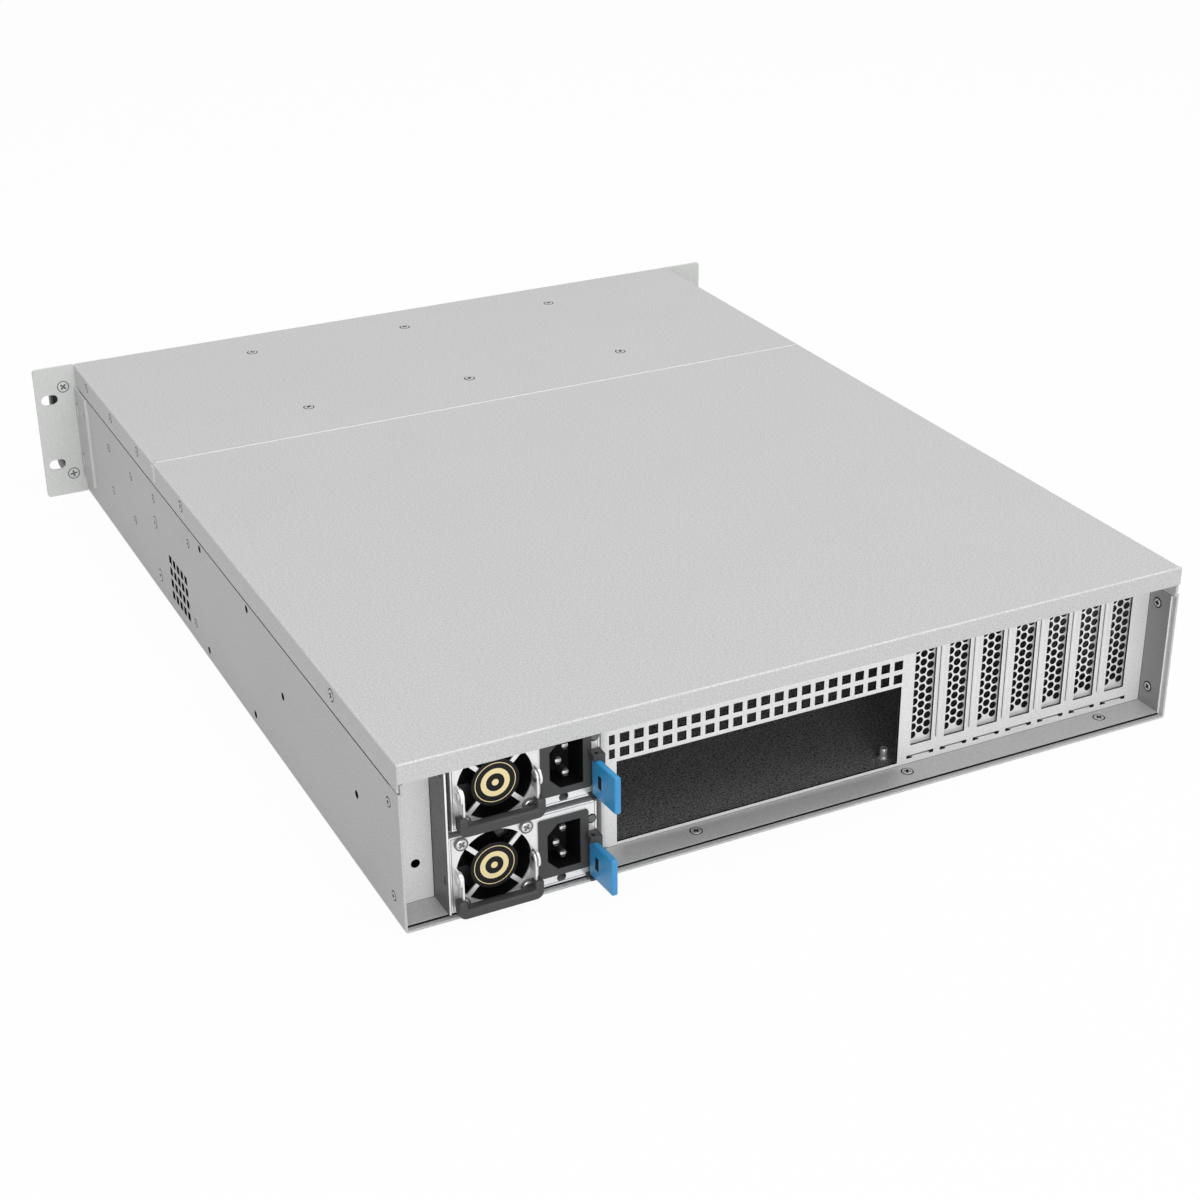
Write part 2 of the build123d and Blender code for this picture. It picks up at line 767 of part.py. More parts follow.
def psu_inlet(right, floor):
    """Inlet moulding with its contact blades, and the latch's bracket beside it."""
    at = Pos(right + inlet_x, floor + inlet_centre_z)
    rim = at * RectangleRounded(inlet_width, inlet_height, 1.2)
    body = at * Rectangle(inlet_width - 2 * inlet_body, inlet_height - 2 * inlet_body)
    front_y = psu_face + inlet_proud
    inlet = along_y(rim, psu_face, front_y) + along_y(body, psu_face - inlet_depth, psu_face)
    inlet -= along_y(at * socket_outline(), front_y - socket_depth, front_y)
    low, high = right + 0.2, right + 1.9
    cheek = area(low, high, psu_face, psu_face + cheek_reach)
    inlet += along_z(cheek, floor + cheek_low, floor + cheek_top)
    lug = area(low, right + 6.1, psu_face, psu_face + cheek_reach)
    lug -= Pos(right + latch_pivot_x, psu_face + latch_pivot_out) * Circle(latch_pin + shaft_play)
    inlet += along_z(lug, floor + cheek_top - lug_top_thick, floor + cheek_top)
    inlet += along_z(lug, floor + cheek_low, floor + cheek_low + lug_foot_thick)
    bottom = front_y - socket_depth
    for step, offset in ((-1, 0), (0, earth_offset), (1, 0)):
        pin = at * Pos(offset - 1.2, step * pin_pitch) * Rectangle(pin_width, pin_height)
        inlet += along_y(pin, bottom, bottom + pin_length)
    return inlet


def grip_profile():
    """U of the grip in rear view, about the fan centre line and the module floor."""
    outer_half = lug_half_span - arm_play + grip_leg / 2 + 0.4
    u = Pos(0, grip_bottom + grip_corner) * RectangleRounded(
        2 * outer_half, 2 * grip_corner, grip_corner - 0.1)
    u += area(-outer_half, outer_half, grip_bottom + grip_corner, grip_top)
    inner = outer_half - grip_leg
    return u - area(-inner, inner, grip_bottom + grip_bar, grip_top + 1)


def psu_handle(right, floor):
    """Bail of two sheet arms with pivots, and the moulded grip that joins them."""
    x = right + fan_x
    y = psu_face + pivot_out
    z = floor + psu_middle
    low = psu_face + grip_out
    handle = along_y(Pos(x, floor) * grip_profile(), low, low + grip_depth)
    rounded = handle.edges().filter_by(Axis.X).group_by(Axis.Z)[0]
    handle = chamfer(rounded, grip_chamfer)
    arm = Pos(y, z) * Circle(arm_width / 2)
    arm += area(y - arm_width / 2, y + arm_width / 2, floor + grip_bottom + grip_bar + 1, z)
    for side in (-1, 1):
        outer = x + side * (lug_half_span - arm_play)
        inner = outer - side * lug_sheet
        handle += along_x(arm, min(inner, outer), max(inner, outer))
        stub_end = x + side * (lug_half_span + lug_sheet + 0.2)
        handle += along_x(Pos(y, z) * Circle(shaft), min(outer, stub_end), max(outer, stub_end))
    return handle


def psu_latch(right, floor):
    """Thumb lever: flared plate on an upright pivot, with a small window near its root."""
    x = right + latch_pivot_x
    y = psu_face + latch_pivot_out
    half = latch_thick / 2
    plan = Pos(x, y) * Circle(half)
    tip = y + latch_length
    plan += outline([
        (x + half, y), (x + half, y + 3), (x + half - latch_flare, tip),
        (x - half - latch_flare, tip), (x - half, y + 3), (x - half, y),
    ])
    low = floor + cheek_low + lug_foot_thick + latch_play
    high = floor + cheek_top - lug_top_thick - latch_play
    lever = along_z(plan, low, high)
    ends = lever.edges().filter_by(Axis.X).group_by(Axis.Y)[-1]
    lever = fillet(ends, latch_rounding)
    middle = (low + high) / 2
    window = Pos(y + window_out, middle) * Rectangle(window_width, window_height)
    lever -= along_x(window, x + half - window_depth, x + half + 2)
    pin = Pos(x, y) * Circle(latch_pin)
    pin_low = floor + cheek_low + latch_play
    return lever + along_z(pin, pin_low, low) + along_z(pin, high, floor + cheek_top - latch_play)


def make_drive_cage():
    """Egg-crate of dividers and shelves between the walls, open at both ends."""
    grid = area(-upper_inner, upper_inner, sheet, under_cover)
    for column in range(bay_columns):
        left = -cage_half + column * column_pitch
        for row in range(bay_rows):
            low = sheet + row * row_pitch
            high = low + row_pitch - bay_shelf
            grid -= area(left, left + bay_width, low, high)
    cage = along_y(grid, cage_start, cage_end)
    seats = Sketch()
    for x, y in top_screw_spots():
        seats += Pos(x, y) * RegularPolygon(screw_hole, 4)
    return cage - along_z(seats, under_cover - cover_screw_depth, under_cover + 1)


def bay_origin(column, row):
    """Centre in X and lowest Z of a carrier in its bay."""
    x = -cage_half + bay_width / 2 + column * column_pitch
    return x, sheet + row * row_pitch + carrier_play


def make_carrier():
    """Tray with two rails and a grilled bezel, about X = 0 and Z = 0."""
    half = carrier_width / 2
    back = bezel_front + bezel_depth
    bezel = area(-half, half, 0, carrier_height)
    pitch = (carrier_width - 2 * grille_side) / grille_slots
    hole = (pitch - grille_bar) / 2
    low = lever_low + lever_height + grille_rise
    for k in range(grille_slots):
        x = (k - (grille_slots - 1) / 2) * pitch
        bezel -= area(x - hole, x + hole, low, carrier_height - grille_rim)
    carrier = along_y(bezel, bezel_front, back)
    hinge = half - lever_hinge_inset
    recess = area(hinge - lever_length, hinge + lever_thick, lever_low - lever_play,
                  lever_low + lever_height + lever_play)
    carrier -= along_y(recess, bezel_front, bezel_front + lever_recess)
    end = bezel_front + carrier_depth
    rails = area(-half, half, 0, rail_height)
    rails -= area(rail_sheet - half, half - rail_sheet, rail_sheet, rail_height)
    carrier += along_y(rails, back, end)
    window = area(tray_side - half, half - tray_side, back + tray_end, end - tray_end)
    return carrier - along_z(window, -1, rail_sheet + 1)


def make_lever():
    """Flat carrier lever with a hinge barrel at one end and a finger hook at the other."""
    x = carrier_width / 2 - lever_hinge_inset
    y = bezel_front + lever_thick / 2
    plan = Pos(x, y) * Circle(lever_thick / 2)
    tip = x - lever_length + 6.4
    plan += outline([
        (x, bezel_front), (tip + 6, bezel_front), (tip + 2, bezel_front - lever_tip_hook),
        (tip, bezel_front - lever_tip_hook), (tip, bezel_front + lever_thick),
        (x, bezel_front + lever_thick),
    ])
    return along_z(plan, lever_low, lever_low + lever_height)


def make_backplane():
    """Upright board behind the cage with one drive connector for each bay."""
    face = area(backplane_side - cage_half, cage_half - backplane_side, sheet + 1.5, cage_top - 1)
    plugs = Sketch()
    for column in range(bay_columns):
        for row in range(bay_rows):
            x, z = bay_origin(column, row)
            plugs += area(x - plug_start, x - plug_start + plug_width,
                          z + plug_rise, z + plug_rise + plug_height)
            if column:
                air = Rectangle(air_slot_width, air_slot_height)
                face -= Pos(x - bay_width / 2 + air_slot_offset, z + carrier_height / 2) * air
    board = along_y(face, cage_end, cage_end + backplane_sheet)
    return board + along_y(plugs, cage_end - plug_depth, cage_end)


def fan_row_centres():
    return [(k - (fan_row_count - 1) / 2) * fan_row_pitch for k in range(fan_row_count)]


def fan_row_height():
    return sheet + fan_floor_gap + fan_size / 2


def make_fan_wall():
    """Cross wall with one round opening for each fan and a foot on the floor."""
    half = upper_inner - cover_gap
    wall = area(-half, half, sheet, under_cover - cover_gap)
    for x in fan_row_centres():
        wall -= Pos(x, fan_row_height()) * Circle(big_bore - 0.5)
    window = RectangleRounded(cable_window_width, cable_window_height, cable_window_corner)
    for side in (-1, 1):
        wall -= Pos(side * (upper_inner - cable_window_inset), cable_window_rise) * window
    plate = along_y(wall, fan_wall_y, fan_wall_y + fan_wall_sheet)
    foot = area(-half, half, fan_wall_y, fan_wall_y + fan_wall_foot)
    return plate + along_z(foot, sheet, sheet + fan_wall_sheet)


def fan_row_place(x):
    return Pos(x, 0, fan_row_height())


def make_fan_frames():
    start = fan_wall_y - fan_row_depth
    frame = fan_frame(fan_size, big_bore, big_hub, big_shaft + shaft_play, start, fan_wall_y)
    return Compound([fan_row_place(x) * frame for x in fan_row_centres()])


def make_big_rotor(x):
    start = fan_wall_y - fan_row_depth + 4.5
    rotor = fan_rotor(big_hub, big_tip, big_blades, big_chord, big_shaft, start, fan_wall_y - 5)
    return fan_row_place(x) * rotor


def standoff_spots():
    first = io_left - board_column_inset
    spots = []
    for x in (first, first - board_column_span, board_far_inset - wall_inner):
        for row in (0, board_middle_row, board_front_row):
            spots.append((x, panel_face - board_rear_inset - row))
    return spots


def make_liner():
    """Black insulating film on the floor under the board, cleared round the standoffs."""
    film = area(liner_side_gap - wall_inner, io_left + liner_bay_lap,
                fan_wall_y + liner_front_gap, panel_back - liner_rear_gap)
    room = standoff_across + 2 * standoff_room
    for x, y in standoff_spots():
        film -= Pos(x, y) * Rectangle(room, room)
    return along_z(film, sheet, sheet + liner_sheet)


def make_standoffs():
    """Hexagonal board standoffs riveted to the floor."""
    body = RegularPolygon(standoff_across / 2, 6, major_radius=False)
    body -= Circle(standoff_hole)
    post = along_z(body, sheet, sheet + standoff_height)
    return Compound([Pos(x, y, 0) * post for x, y in standoff_spots()])


def make_ear(side):
    """Bent rack ear: slotted front plate and a flange along the side wall."""
    half_rise = body_height / 2 - 0.2
    plate = area(half_width, rack_width / 2, ear_middle - half_rise, ear_middle + half_rise)
    for step in (-1, 1):
        z = ear_middle + step * rack_hole_rise / 2
        plate -= Pos(rack_hole_span / 2, z) * SlotOverall(rack_slot_length, rack_slot_height)
        hole = RegularPolygon(screw_hole, 8)
        plate -= Pos(half_width + pull_x, ear_middle + step * pull_span / 2) * hole
    ear = along_y(plate, ear_front, ear_front + ear_sheet)
    outer = ear.edges().filter_by(Axis.Y).filter_by_position(Axis.X, rack_width / 2 - 1,
                                                             rack_width / 2 + 1)
    ear = fillet(outer, 2.0)
    flange = area(ear_front, ear_front + ear_flange, ear_flange_low, shoulder)
    for z in (ear_flange_low + ear_slot_rise, shoulder - ear_slot_drop):
        flange -= Pos(ear_front + ear_flange - 8, z) * SlotOverall(7.0, 3.0)
    ear += along_x(flange, half_width, half_width + ear_sheet)
    return ear if side > 0 else mirror(ear, about=Plane.YZ)


def make_pull_handle():
    """U-shaped pull handle about X = 0, with rounded corners and softened edges."""
    half = pull_span / 2 + pull_bar / 2
    tip = ear_front - pull_reach
    middle = Pos(ear_front, ear_middle)
    outer = middle * RectangleRounded(2 * pull_reach, 2 * half, 9.0)
    inner = middle * RectangleRounded(2 * (pull_reach - pull_bar), 2 * (half - pull_bar), 5.0)
    keep = area(tip - 1, ear_front, ear_middle - half - 1, ear_middle + half + 1)
    bar = along_x((outer - inner) & keep, -pull_bar / 2, pull_bar / 2)
    return chamfer(bar.faces().sort_by(Axis.X)[-1].outer_wire().edges().filter_by(GeomType.LINE), 1.0)


def make_front_handles():
    x = half_width + pull_x
    return Compound([Pos(side * x, 0, 0) * make_pull_handle() for side in (-1, 1)])


def button_place():
    """Centre of the power button on the right-hand ear, in X and Z."""
    return -(half_width + 1.0 + module_width / 2), ear_middle + 5.5


def make_control_module():
    """Small moulded housing on the ear with the button's bore."""
    x, z = button_place()
    body = Pos(x, ear_middle) * RectangleRounded(module_width, module_height, 2.5)
    body -= Pos(x, z) * Circle(button_radius + button_play)
    return along_y(body, ear_front - module_thick, ear_front)


def make_power_button():
    x, z = button_place()
    end = ear_front - button_travel - 0.2
    cap = along_y(Pos(x, z) * Circle(button_radius), ear_front - module_thick - button_proud, end)
    return chamfer(cap.edges().sort_by(Axis.Y)[0], 0.4)


def screw(head_radius, length):
    """Flat head and shank, along Z with the head's seat at Z = 0."""
    head = along_z(RegularPolygon(head_radius, 8), 0, screw_head_height)
    return head + along_z(RegularPolygon(screw_shank, 4), -length, 0)


def make_screws():
    """Cover, wall, panel, slot cover and handle screws of the fixed shell."""
    length = sheet + 0.8
    screws = []
    for x, y in top_screw_spots():
        screws.append(Pos(x, y, body_height) * screw(top_head, cover_screw_depth - 0.5))
    sides = [(y, z, wall_head) for y, z in wall_screw_spots() + cage_screw_spots()]
    sides += [(y, z, stud_head) for y, z in stud_spots()]
    for y, z in flange_screw_spots():
        sides.append((y, z, flange_head if y < seam else cover_head))
    for y, z, head in sides:
        screws.append(Pos(half_width, y, z) * Rot(0, 90, 0) * screw(head, length))
        screws.append(Pos(-half_width, y, z) * Rot(0, -90, 0) * screw(head, length))
    return Compound(screws)


def export(name, shape):
    export_step(shape, os.path.join("parts", name + ".step"))


def main():
    os.makedirs("parts", exist_ok=True)
    export("chassis_base", make_base())
    export("front_cover", make_front_cover())
    export("rear_cover", make_rear_cover())
    export("rear_panel", make_rear_panel())
    export("slot_covers", make_slot_covers())
    export("psu_cage", make_psu_cage())
    export("power_board", make_power_board())
    export("drive_cage", make_drive_cage())
    export("backplane", make_backplane())
    export("fan_wall", make_fan_wall())
    export("fan_frames", make_fan_frames())
    for number, x in enumerate(fan_row_centres(), 1):
        export(f"fan_rotor_{number}", make_big_rotor(x))
    export("floor_liner", make_liner())
    export("standoffs", make_standoffs())
    export("ear_left", make_ear(1))
    export("ear_right", make_ear(-1))
    export("front_handles", make_front_handles())
    export("screws", make_screws())
    export("control_module", make_control_module())
    export("power_button", make_power_button())
    for number, (right, floor) in enumerate(psu_places, 1):
        frame, rotor = psu_fan_parts(right, floor)
        export(f"psu_{number}_case", psu_case(right, floor))
        export(f"psu_{number}_face", psu_face_plate(right, floor))
        export(f"psu_{number}_fan_frame", frame)
        export(f"psu_{number}_rotor", rotor)
        export(f"psu_{number}_inlet", psu_inlet(right, floor))
        export(f"psu_{number}_handle", psu_handle(right, floor))
        export(f"psu_{number}_latch", psu_latch(right, floor))
    carrier = make_carrier()
    lever = make_lever()
    number = 0
    for row in range(bay_rows):
        for column in range(bay_columns):
            number += 1
            x, z = bay_origin(column, row)
            export(f"carrier_{number:02d}", Pos(x, 0, z) * carrier)
            export(f"carrier_lever_{number:02d}", Pos(x, 0, z) * lever)


main()
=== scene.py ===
"""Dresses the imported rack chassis: finishes, screws, latches, handles, fans and inlets."""

import json
import math

import bmesh
import bpy
from bpy.props import FloatProperty, FloatVectorProperty, IntProperty, PointerProperty
from mathutils import Matrix, Quaternion, Vector


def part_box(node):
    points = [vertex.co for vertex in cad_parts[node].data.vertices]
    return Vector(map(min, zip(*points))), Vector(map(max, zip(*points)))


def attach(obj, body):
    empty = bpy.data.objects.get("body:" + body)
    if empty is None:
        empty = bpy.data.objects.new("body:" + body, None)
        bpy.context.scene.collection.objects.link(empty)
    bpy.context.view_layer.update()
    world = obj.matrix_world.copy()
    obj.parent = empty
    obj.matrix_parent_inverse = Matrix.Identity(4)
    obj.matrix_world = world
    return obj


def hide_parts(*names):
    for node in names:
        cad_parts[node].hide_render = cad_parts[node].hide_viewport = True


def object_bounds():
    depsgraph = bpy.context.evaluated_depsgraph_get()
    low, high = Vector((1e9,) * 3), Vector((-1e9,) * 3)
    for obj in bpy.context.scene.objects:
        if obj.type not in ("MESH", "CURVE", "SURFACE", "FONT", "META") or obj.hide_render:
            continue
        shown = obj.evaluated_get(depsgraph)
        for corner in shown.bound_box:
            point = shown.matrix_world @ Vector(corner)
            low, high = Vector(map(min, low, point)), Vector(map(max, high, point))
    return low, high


bl_info = {
    "name": "Rack chassis dressing",
    "version": (1, 0, 0),
    "blender": (4, 5, 0),
    "location": "View3D > Sidebar > Chassis",
    "description": "Finishes and small parts for a two-unit rack chassis seen from the rear",
    "category": "Object",
}

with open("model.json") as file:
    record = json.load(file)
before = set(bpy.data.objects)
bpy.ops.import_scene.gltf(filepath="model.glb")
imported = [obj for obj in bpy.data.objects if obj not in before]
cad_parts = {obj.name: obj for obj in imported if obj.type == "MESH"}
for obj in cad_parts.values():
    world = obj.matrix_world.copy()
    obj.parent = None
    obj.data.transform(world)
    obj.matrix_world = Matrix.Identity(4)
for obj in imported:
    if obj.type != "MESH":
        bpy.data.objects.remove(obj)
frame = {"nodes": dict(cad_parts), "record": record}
CAD_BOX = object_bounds()

MM = 0.001
UP = (0, 0, 1)
REARWARD = (0, 1, 0)
MODULES = (1, 2)
MODULE_BODY = {1: "psu_1", 2: "chassis"}

# Places in the frame, in millimetres
SHELL_REAR = 280.0
SHELL_TOP = 88.0
HALF_WIDTH = 215.0
PANEL_FACE = 261.0
PANEL_BACK = 260.0
SEAM = -97.8
FOOT_TOP = 2.2
SLOT_FIRST = -73.5
SLOT_PITCH = 20.32
SLOT_COUNT = 7
SLOT_LOW = 12.5
SLOT_TOP = 76.4
SLOT_SHELF = 80.4
EAR_REAR = -279.6
FILM_TOP = 1.7
SCREW_ROW = SHELL_REAR - 12.5
FOOT_SCREWS = (59.5, -61.8, -182.0)
FLANGE_SCREW_X = 212.3
FLANGE_SCREWS = (13.2, 62.8)
EAR_SCREW_X = 223.0
EAR_SCREWS = (14.0, 74.0)
EAR_TABS = (20.0, 55.0)

# Places on a module's face, from its lower right corner as the face is looked at
FAN_X = 51.9
FAN_Z = 20.0
FAN_SCREW_STEP = 16.0
INLET_X = 17.1
INLET_Z = 20.7
CONTACT_STEP = 7.0
CONTACT_LEAD = 3.5
CONTACT_ROOT = -14.8
LAMP_X = 2.6
LAMP_Z = 30.4
LUG_HALF_SPAN = 18.8
PIVOT_OUT = 3.5

# Sizes of the small pieces, in millimetres
SCREW_PROUD = 0.35
SCREW_HEIGHT = 0.9
FAN_SCREW_HEIGHT = 1.7
COVER_SHEET = 0.8
COVER_HALF_WIDTH = 8.9
COVER_LOW = 8.0
COVER_FOOT_HALF_WIDTH = 5.1
COVER_FOOT_TOP = 9.0
COVER_TAB_REACH = 12.0
PEG_LOW = 5.4
PEG_REACH = 0.8
BEAD_HALF_WIDTH = 1.45
TAB_HEIGHT = 9.0
POST_RADIUS = 2.0
POST_HEIGHT = 6.5
POST_BORE = 1.25
POST_BORE_LOW = 2.5
POST_FOOT_RADIUS = 3.1
POST_FOOT_HEIGHT = 1.4
FILM_PATCH = 4.8
LABEL_RADIUS = 11.75
LABEL_SHEET = 0.25
WELL_HALF_WIDTH = 8.38
WELL_HALF_HEIGHT = 12.18
WELL_DEPTH = 14.75
WELL_CORNER = 5.1
BLADE_HALVES = (1.05, 2.05)
BLADE_LENGTH = 10.9
TIP_HALVES = (1.6, 0.85)
TIP_END = 12.1
GRIP_HALF_SPAN = 21.15
GRIP_SIDE = 4.5
GRIP_DEPTH = 6.0
GRIP_TOP = 10.0
GRIP_BAR_TOP = 5.3
ARM_RADIUS = 3.2
ARM_SHEET = 1.0
LATCH_LIFT = 1.2
LATCH_DROP = 2.7
LATCH_TIP = 2.0
WINDOW_START = 5.6
WINDOW_LENGTH = 3.4
LENS_RADIUS = 2.1
RIM_RADIUS = 2.5


def face_corner(module):
    """A module's corner beside the board opening: side, face and floor, in millimetres."""
    low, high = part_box(f"psu_{module}_case")
    return Vector((low.x, high.y, low.z)) / MM


def slot_centres():
    return [SLOT_FIRST - k * SLOT_PITCH for k in range(SLOT_COUNT)]


# Finishes


# black of the painted shade on the walls of holes and in the inlets' wells
SHADE_BLACK = (0.006, 0.006, 0.006)
# the power bay's cage takes shaded_sheet, darkened as painted shade; the panel and the ears take
# finishes with painted shade on some faces
NODE_FINISHES = {"rear_panel": "panel_sheet", "psu_cage": "shaded_sheet",
                 "ear_left": "ear_sheet", "ear_right": "ear_sheet"}

# Colour, roughness and what else differs, for the small pieces and those inside
SMALL_FINISHES = {
    # painted highlight: near white strips along cut edges
    "painted_edge_highlight": ((0.98, 0.98, 0.98), 0.5,
                 {"scale": 1300.0, "contrast": 0.05, "cloud": 0.02, "bump": 0.05}),
    # painted shade: black lining the inlets' wells
    "inlet_shadow_black": (SHADE_BLACK, 0.6, {"contrast": 0.2, "bump": 0.2, "specular": 0.15}),
    # painted shade: black in screw recesses, the foot gap, behind the latch windows and round the
    # lamps
    "painted_shadow_black": ((0.01, 0.01, 0.01), 0.7, {"contrast": 0.2, "specular": 0.1}),
    "fan_plastic": ((0.008, 0.008, 0.009), 0.42,
                    {"contrast": 0.2, "bump": 0.15, "specular": 0.4}),
    "lever_plastic": ((0.06, 0.06, 0.062), 0.5,
                      {"scale": 1700.0, "contrast": 0.2, "bump": 0.3}),
    "circuit_board": ((0.02, 0.12, 0.05), 0.45,
                      {"scale": 260.0, "contrast": 0.35, "cloud": 0.1, "bump": 0.2,
                       "coat": 0.3}),
    "standoff_brass": ((0.70, 0.70, 0.68), 0.3,
                       {"metallic": 0.7, "scale": 900.0, "contrast": 0.08}),
    "handle_paint": ((0.03, 0.03, 0.032), 0.42,
                     {"scale": 1400.0, "contrast": 0.2, "bump": 0.25}),
    "screw_chrome": ((0.70, 0.70, 0.70), 0.28,
                     {"metallic": 0.7, "scale": 2200.0, "contrast": 0.12}),
    "contact_shade": ((0.05, 0.05, 0.05), 0.4, {"metallic": 0.3}),
    "screw_zinc": ((0.58, 0.58, 0.58), 0.4,
                   {"metallic": 0.2, "scale": 2200.0, "contrast": 0.15}),
    "button_plastic": ((0.30, 0.31, 0.33), 0.35, {"contrast": 0.08}),
    "lamp_lens": ((0.09, 0.10, 0.09), 0.18, {"scale": 500.0, "coat": 0.5}),
}


def shader_group(name, inputs, outputs):
    """New shader node group with named sockets; returns its tree, input node and output node."""
    tree = bpy.data.node_groups.new(name, "ShaderNodeTree")
    for label, kind, default in inputs:
        socket = tree.interface.new_socket(label, in_out="INPUT", socket_type=kind)
        socket.default_value = default
    for label, kind in outputs:
        tree.interface.new_socket(label, in_out="OUTPUT", socket_type=kind)
    return tree, tree.nodes.new("NodeGroupInput"), tree.nodes.new("NodeGroupOutput")


def node(tree, kind, **values):
    """New node with its attributes, or else its inputs' defaults, set by name."""
    made = tree.nodes.new(kind)
    for key, value in values.items():
        if hasattr(made, key):
            setattr(made, key, value)
        else:
            made.inputs[key.replace("_", " ")].default_value = value
    return made


def grain_group():
    """Fine speckle over slow clouds, as on spangled zinc sheet and moulded plastic."""
    tree, given, result = shader_group(
        "fine_grain",
        [("Color", "NodeSocketColor", (0.5, 0.5, 0.5, 1.0)), ("Roughness", "NodeSocketFloat", 0.5),
         ("Scale", "NodeSocketFloat", 1500.0), ("Contrast", "NodeSocketFloat", 0.1),
         ("Cloud", "NodeSocketFloat", 0.05)],
        [("Color", "NodeSocketColor"), ("Roughness", "NodeSocketFloat"),
         ("Height", "NodeSocketFloat")])
    link = tree.links.new
    place = node(tree, "ShaderNodeTexCoord")
    speckle = node(tree, "ShaderNodeTexNoise", Detail=2.0, Roughness=0.7)
    clouds = node(tree, "ShaderNodeTexNoise", Scale=14.0, Detail=3.0)
    link(place.outputs["Object"], speckle.inputs["Vector"])
    link(place.outputs["Object"], clouds.inputs["Vector"])
    link(given.outputs["Scale"], speckle.inputs["Scale"])
    both = node(tree, "ShaderNodeMath", operation="ADD")
    for count, (noise, amount) in enumerate(((speckle, "Contrast"), (clouds, "Cloud"))):
        spread = node(tree, "ShaderNodeMath", operation="MULTIPLY_ADD")
        spread.inputs[1].default_value = 2.0
        spread.inputs[2].default_value = -1.0
        link(noise.outputs["Fac"], spread.inputs[0])
        share = node(tree, "ShaderNodeMath", operation="MULTIPLY")
        link(spread.outputs[0], share.inputs[0])
        link(given.outputs[amount], share.inputs[1])
        link(share.outputs[0], both.inputs[count])
    level = node(tree, "ShaderNodeMath", operation="ADD")
    level.inputs[1].default_value = 1.0
    link(both.outputs[0], level.inputs[0])
    tint = node(tree, "ShaderNodeVectorMath", operation="SCALE")
    link(given.outputs["Color"], tint.inputs[0])
    link(level.outputs[0], tint.inputs["Scale"])
    rough = node(tree, "ShaderNodeMath", operation="MULTIPLY_ADD")
    rough.inputs[1].default_value = -0.6
    link(both.outputs[0], rough.inputs[0])
    link(given.outputs["Roughness"], rough.inputs[2])
    link(tint.outputs[0], result.inputs["Color"])
    link(rough.outputs[0], result.inputs["Roughness"])
    link(speckle.outputs["Fac"], result.inputs["Height"])
    return tree


def finish(name, colour, roughness, metallic=0.0, scale=1500.0, contrast=0.1, cloud=0.04,
           bump=0.1, depth=0.1, coat=0.0, specular=0.5):
    """Principled material whose colour, roughness and bump come from the grain group."""
    plain = bpy.data.materials.get(name)
    if plain:
        bpy.data.materials.remove(plain)
    made = bpy.data.materials.new(name)
    made.use_nodes = True
    tree = made.node_tree
    shader = tree.nodes["Principled BSDF"]
    shader.inputs["Metallic"].default_value = metallic
    shader.inputs["Coat Weight"].default_value = coat
    shader.inputs["Coat Roughness"].default_value = 0.2
    shader.inputs["Specular IOR Level"].default_value = specular
    grain = tree.nodes.new("ShaderNodeGroup")
    grain.node_tree = bpy.data.node_groups.get("fine_grain") or grain_group()
    values = {"Color": (*colour, 1.0), "Roughness": roughness, "Scale": scale,
              "Contrast": contrast, "Cloud": cloud}
    for label, value in values.items():
        grain.inputs[label].default_value = value
    relief = node(tree, "ShaderNodeBump", Strength=bump, Distance=depth * MM)
    tree.links.new(grain.outputs["Color"], shader.inputs["Base Color"])
    tree.links.new(grain.outputs["Roughness"], shader.inputs["Roughness"])
    tree.links.new(grain.outputs["Height"], relief.inputs["Height"])
    tree.links.new(relief.outputs["Normal"], shader.inputs["Normal"])
    return made


def lay_over(made, mask):
    """Mix a second colour over a finish by a mask; returns the socket for that colour."""
    tree = made.node_tree
    shader = tree.nodes["Principled BSDF"]
    mix = node(tree, "ShaderNodeMix", data_type="RGBA")
    below, above = (socket for socket in mix.inputs if socket.type == "RGBA")
    result = next(socket for socket in mix.outputs if socket.type == "RGBA")
    tree.links.new(mask, mix.inputs["Factor"])
    tree.links.new(shader.inputs["Base Color"].links[0].from_socket, below)
    tree.links.new(result, shader.inputs["Base Color"])
    return above


def label_finish(gold):
    """Round label: black, with two pale gold bands and a small gold centre."""
    made = finish("label_print", (0.006, 0.006, 0.007), 0.5, scale=900.0, contrast=0.05,
                  specular=0.2)
    tree = made.node_tree
    place = node(tree, "ShaderNodeTexCoord")
    centred = node(tree, "ShaderNodeMapping")
    centred.inputs["Location"].default_value = (-0.5, -0.5, 0.0)
    tree.links.new(place.outputs["UV"], centred.inputs["Vector"])
    reach = node(tree, "ShaderNodeVectorMath", operation="LENGTH")
    tree.links.new(centred.outputs["Vector"], reach.inputs[0])
    bands = tree.nodes.new("ShaderNodeValToRGB")
    bands.color_ramp.interpolation = "CONSTANT"
    stops = ((0.0, 1), (0.07, 0), (0.19, 1), (0.30, 0), (0.41, 1), (0.425, 0))
    marks = bands.color_ramp.elements
    marks[1].position = stops[1][0]
    for position, _ in stops[2:]:
        marks.new(position)
    for mark, (_, value) in zip(marks, stops):
        mark.color = (value, value, value, 1.0)
    tree.links.new(reach.outputs["Value"], bands.inputs["Fac"])
    lay_over(made, bands.outputs["Color"]).default_value = (*gold, 1.0)


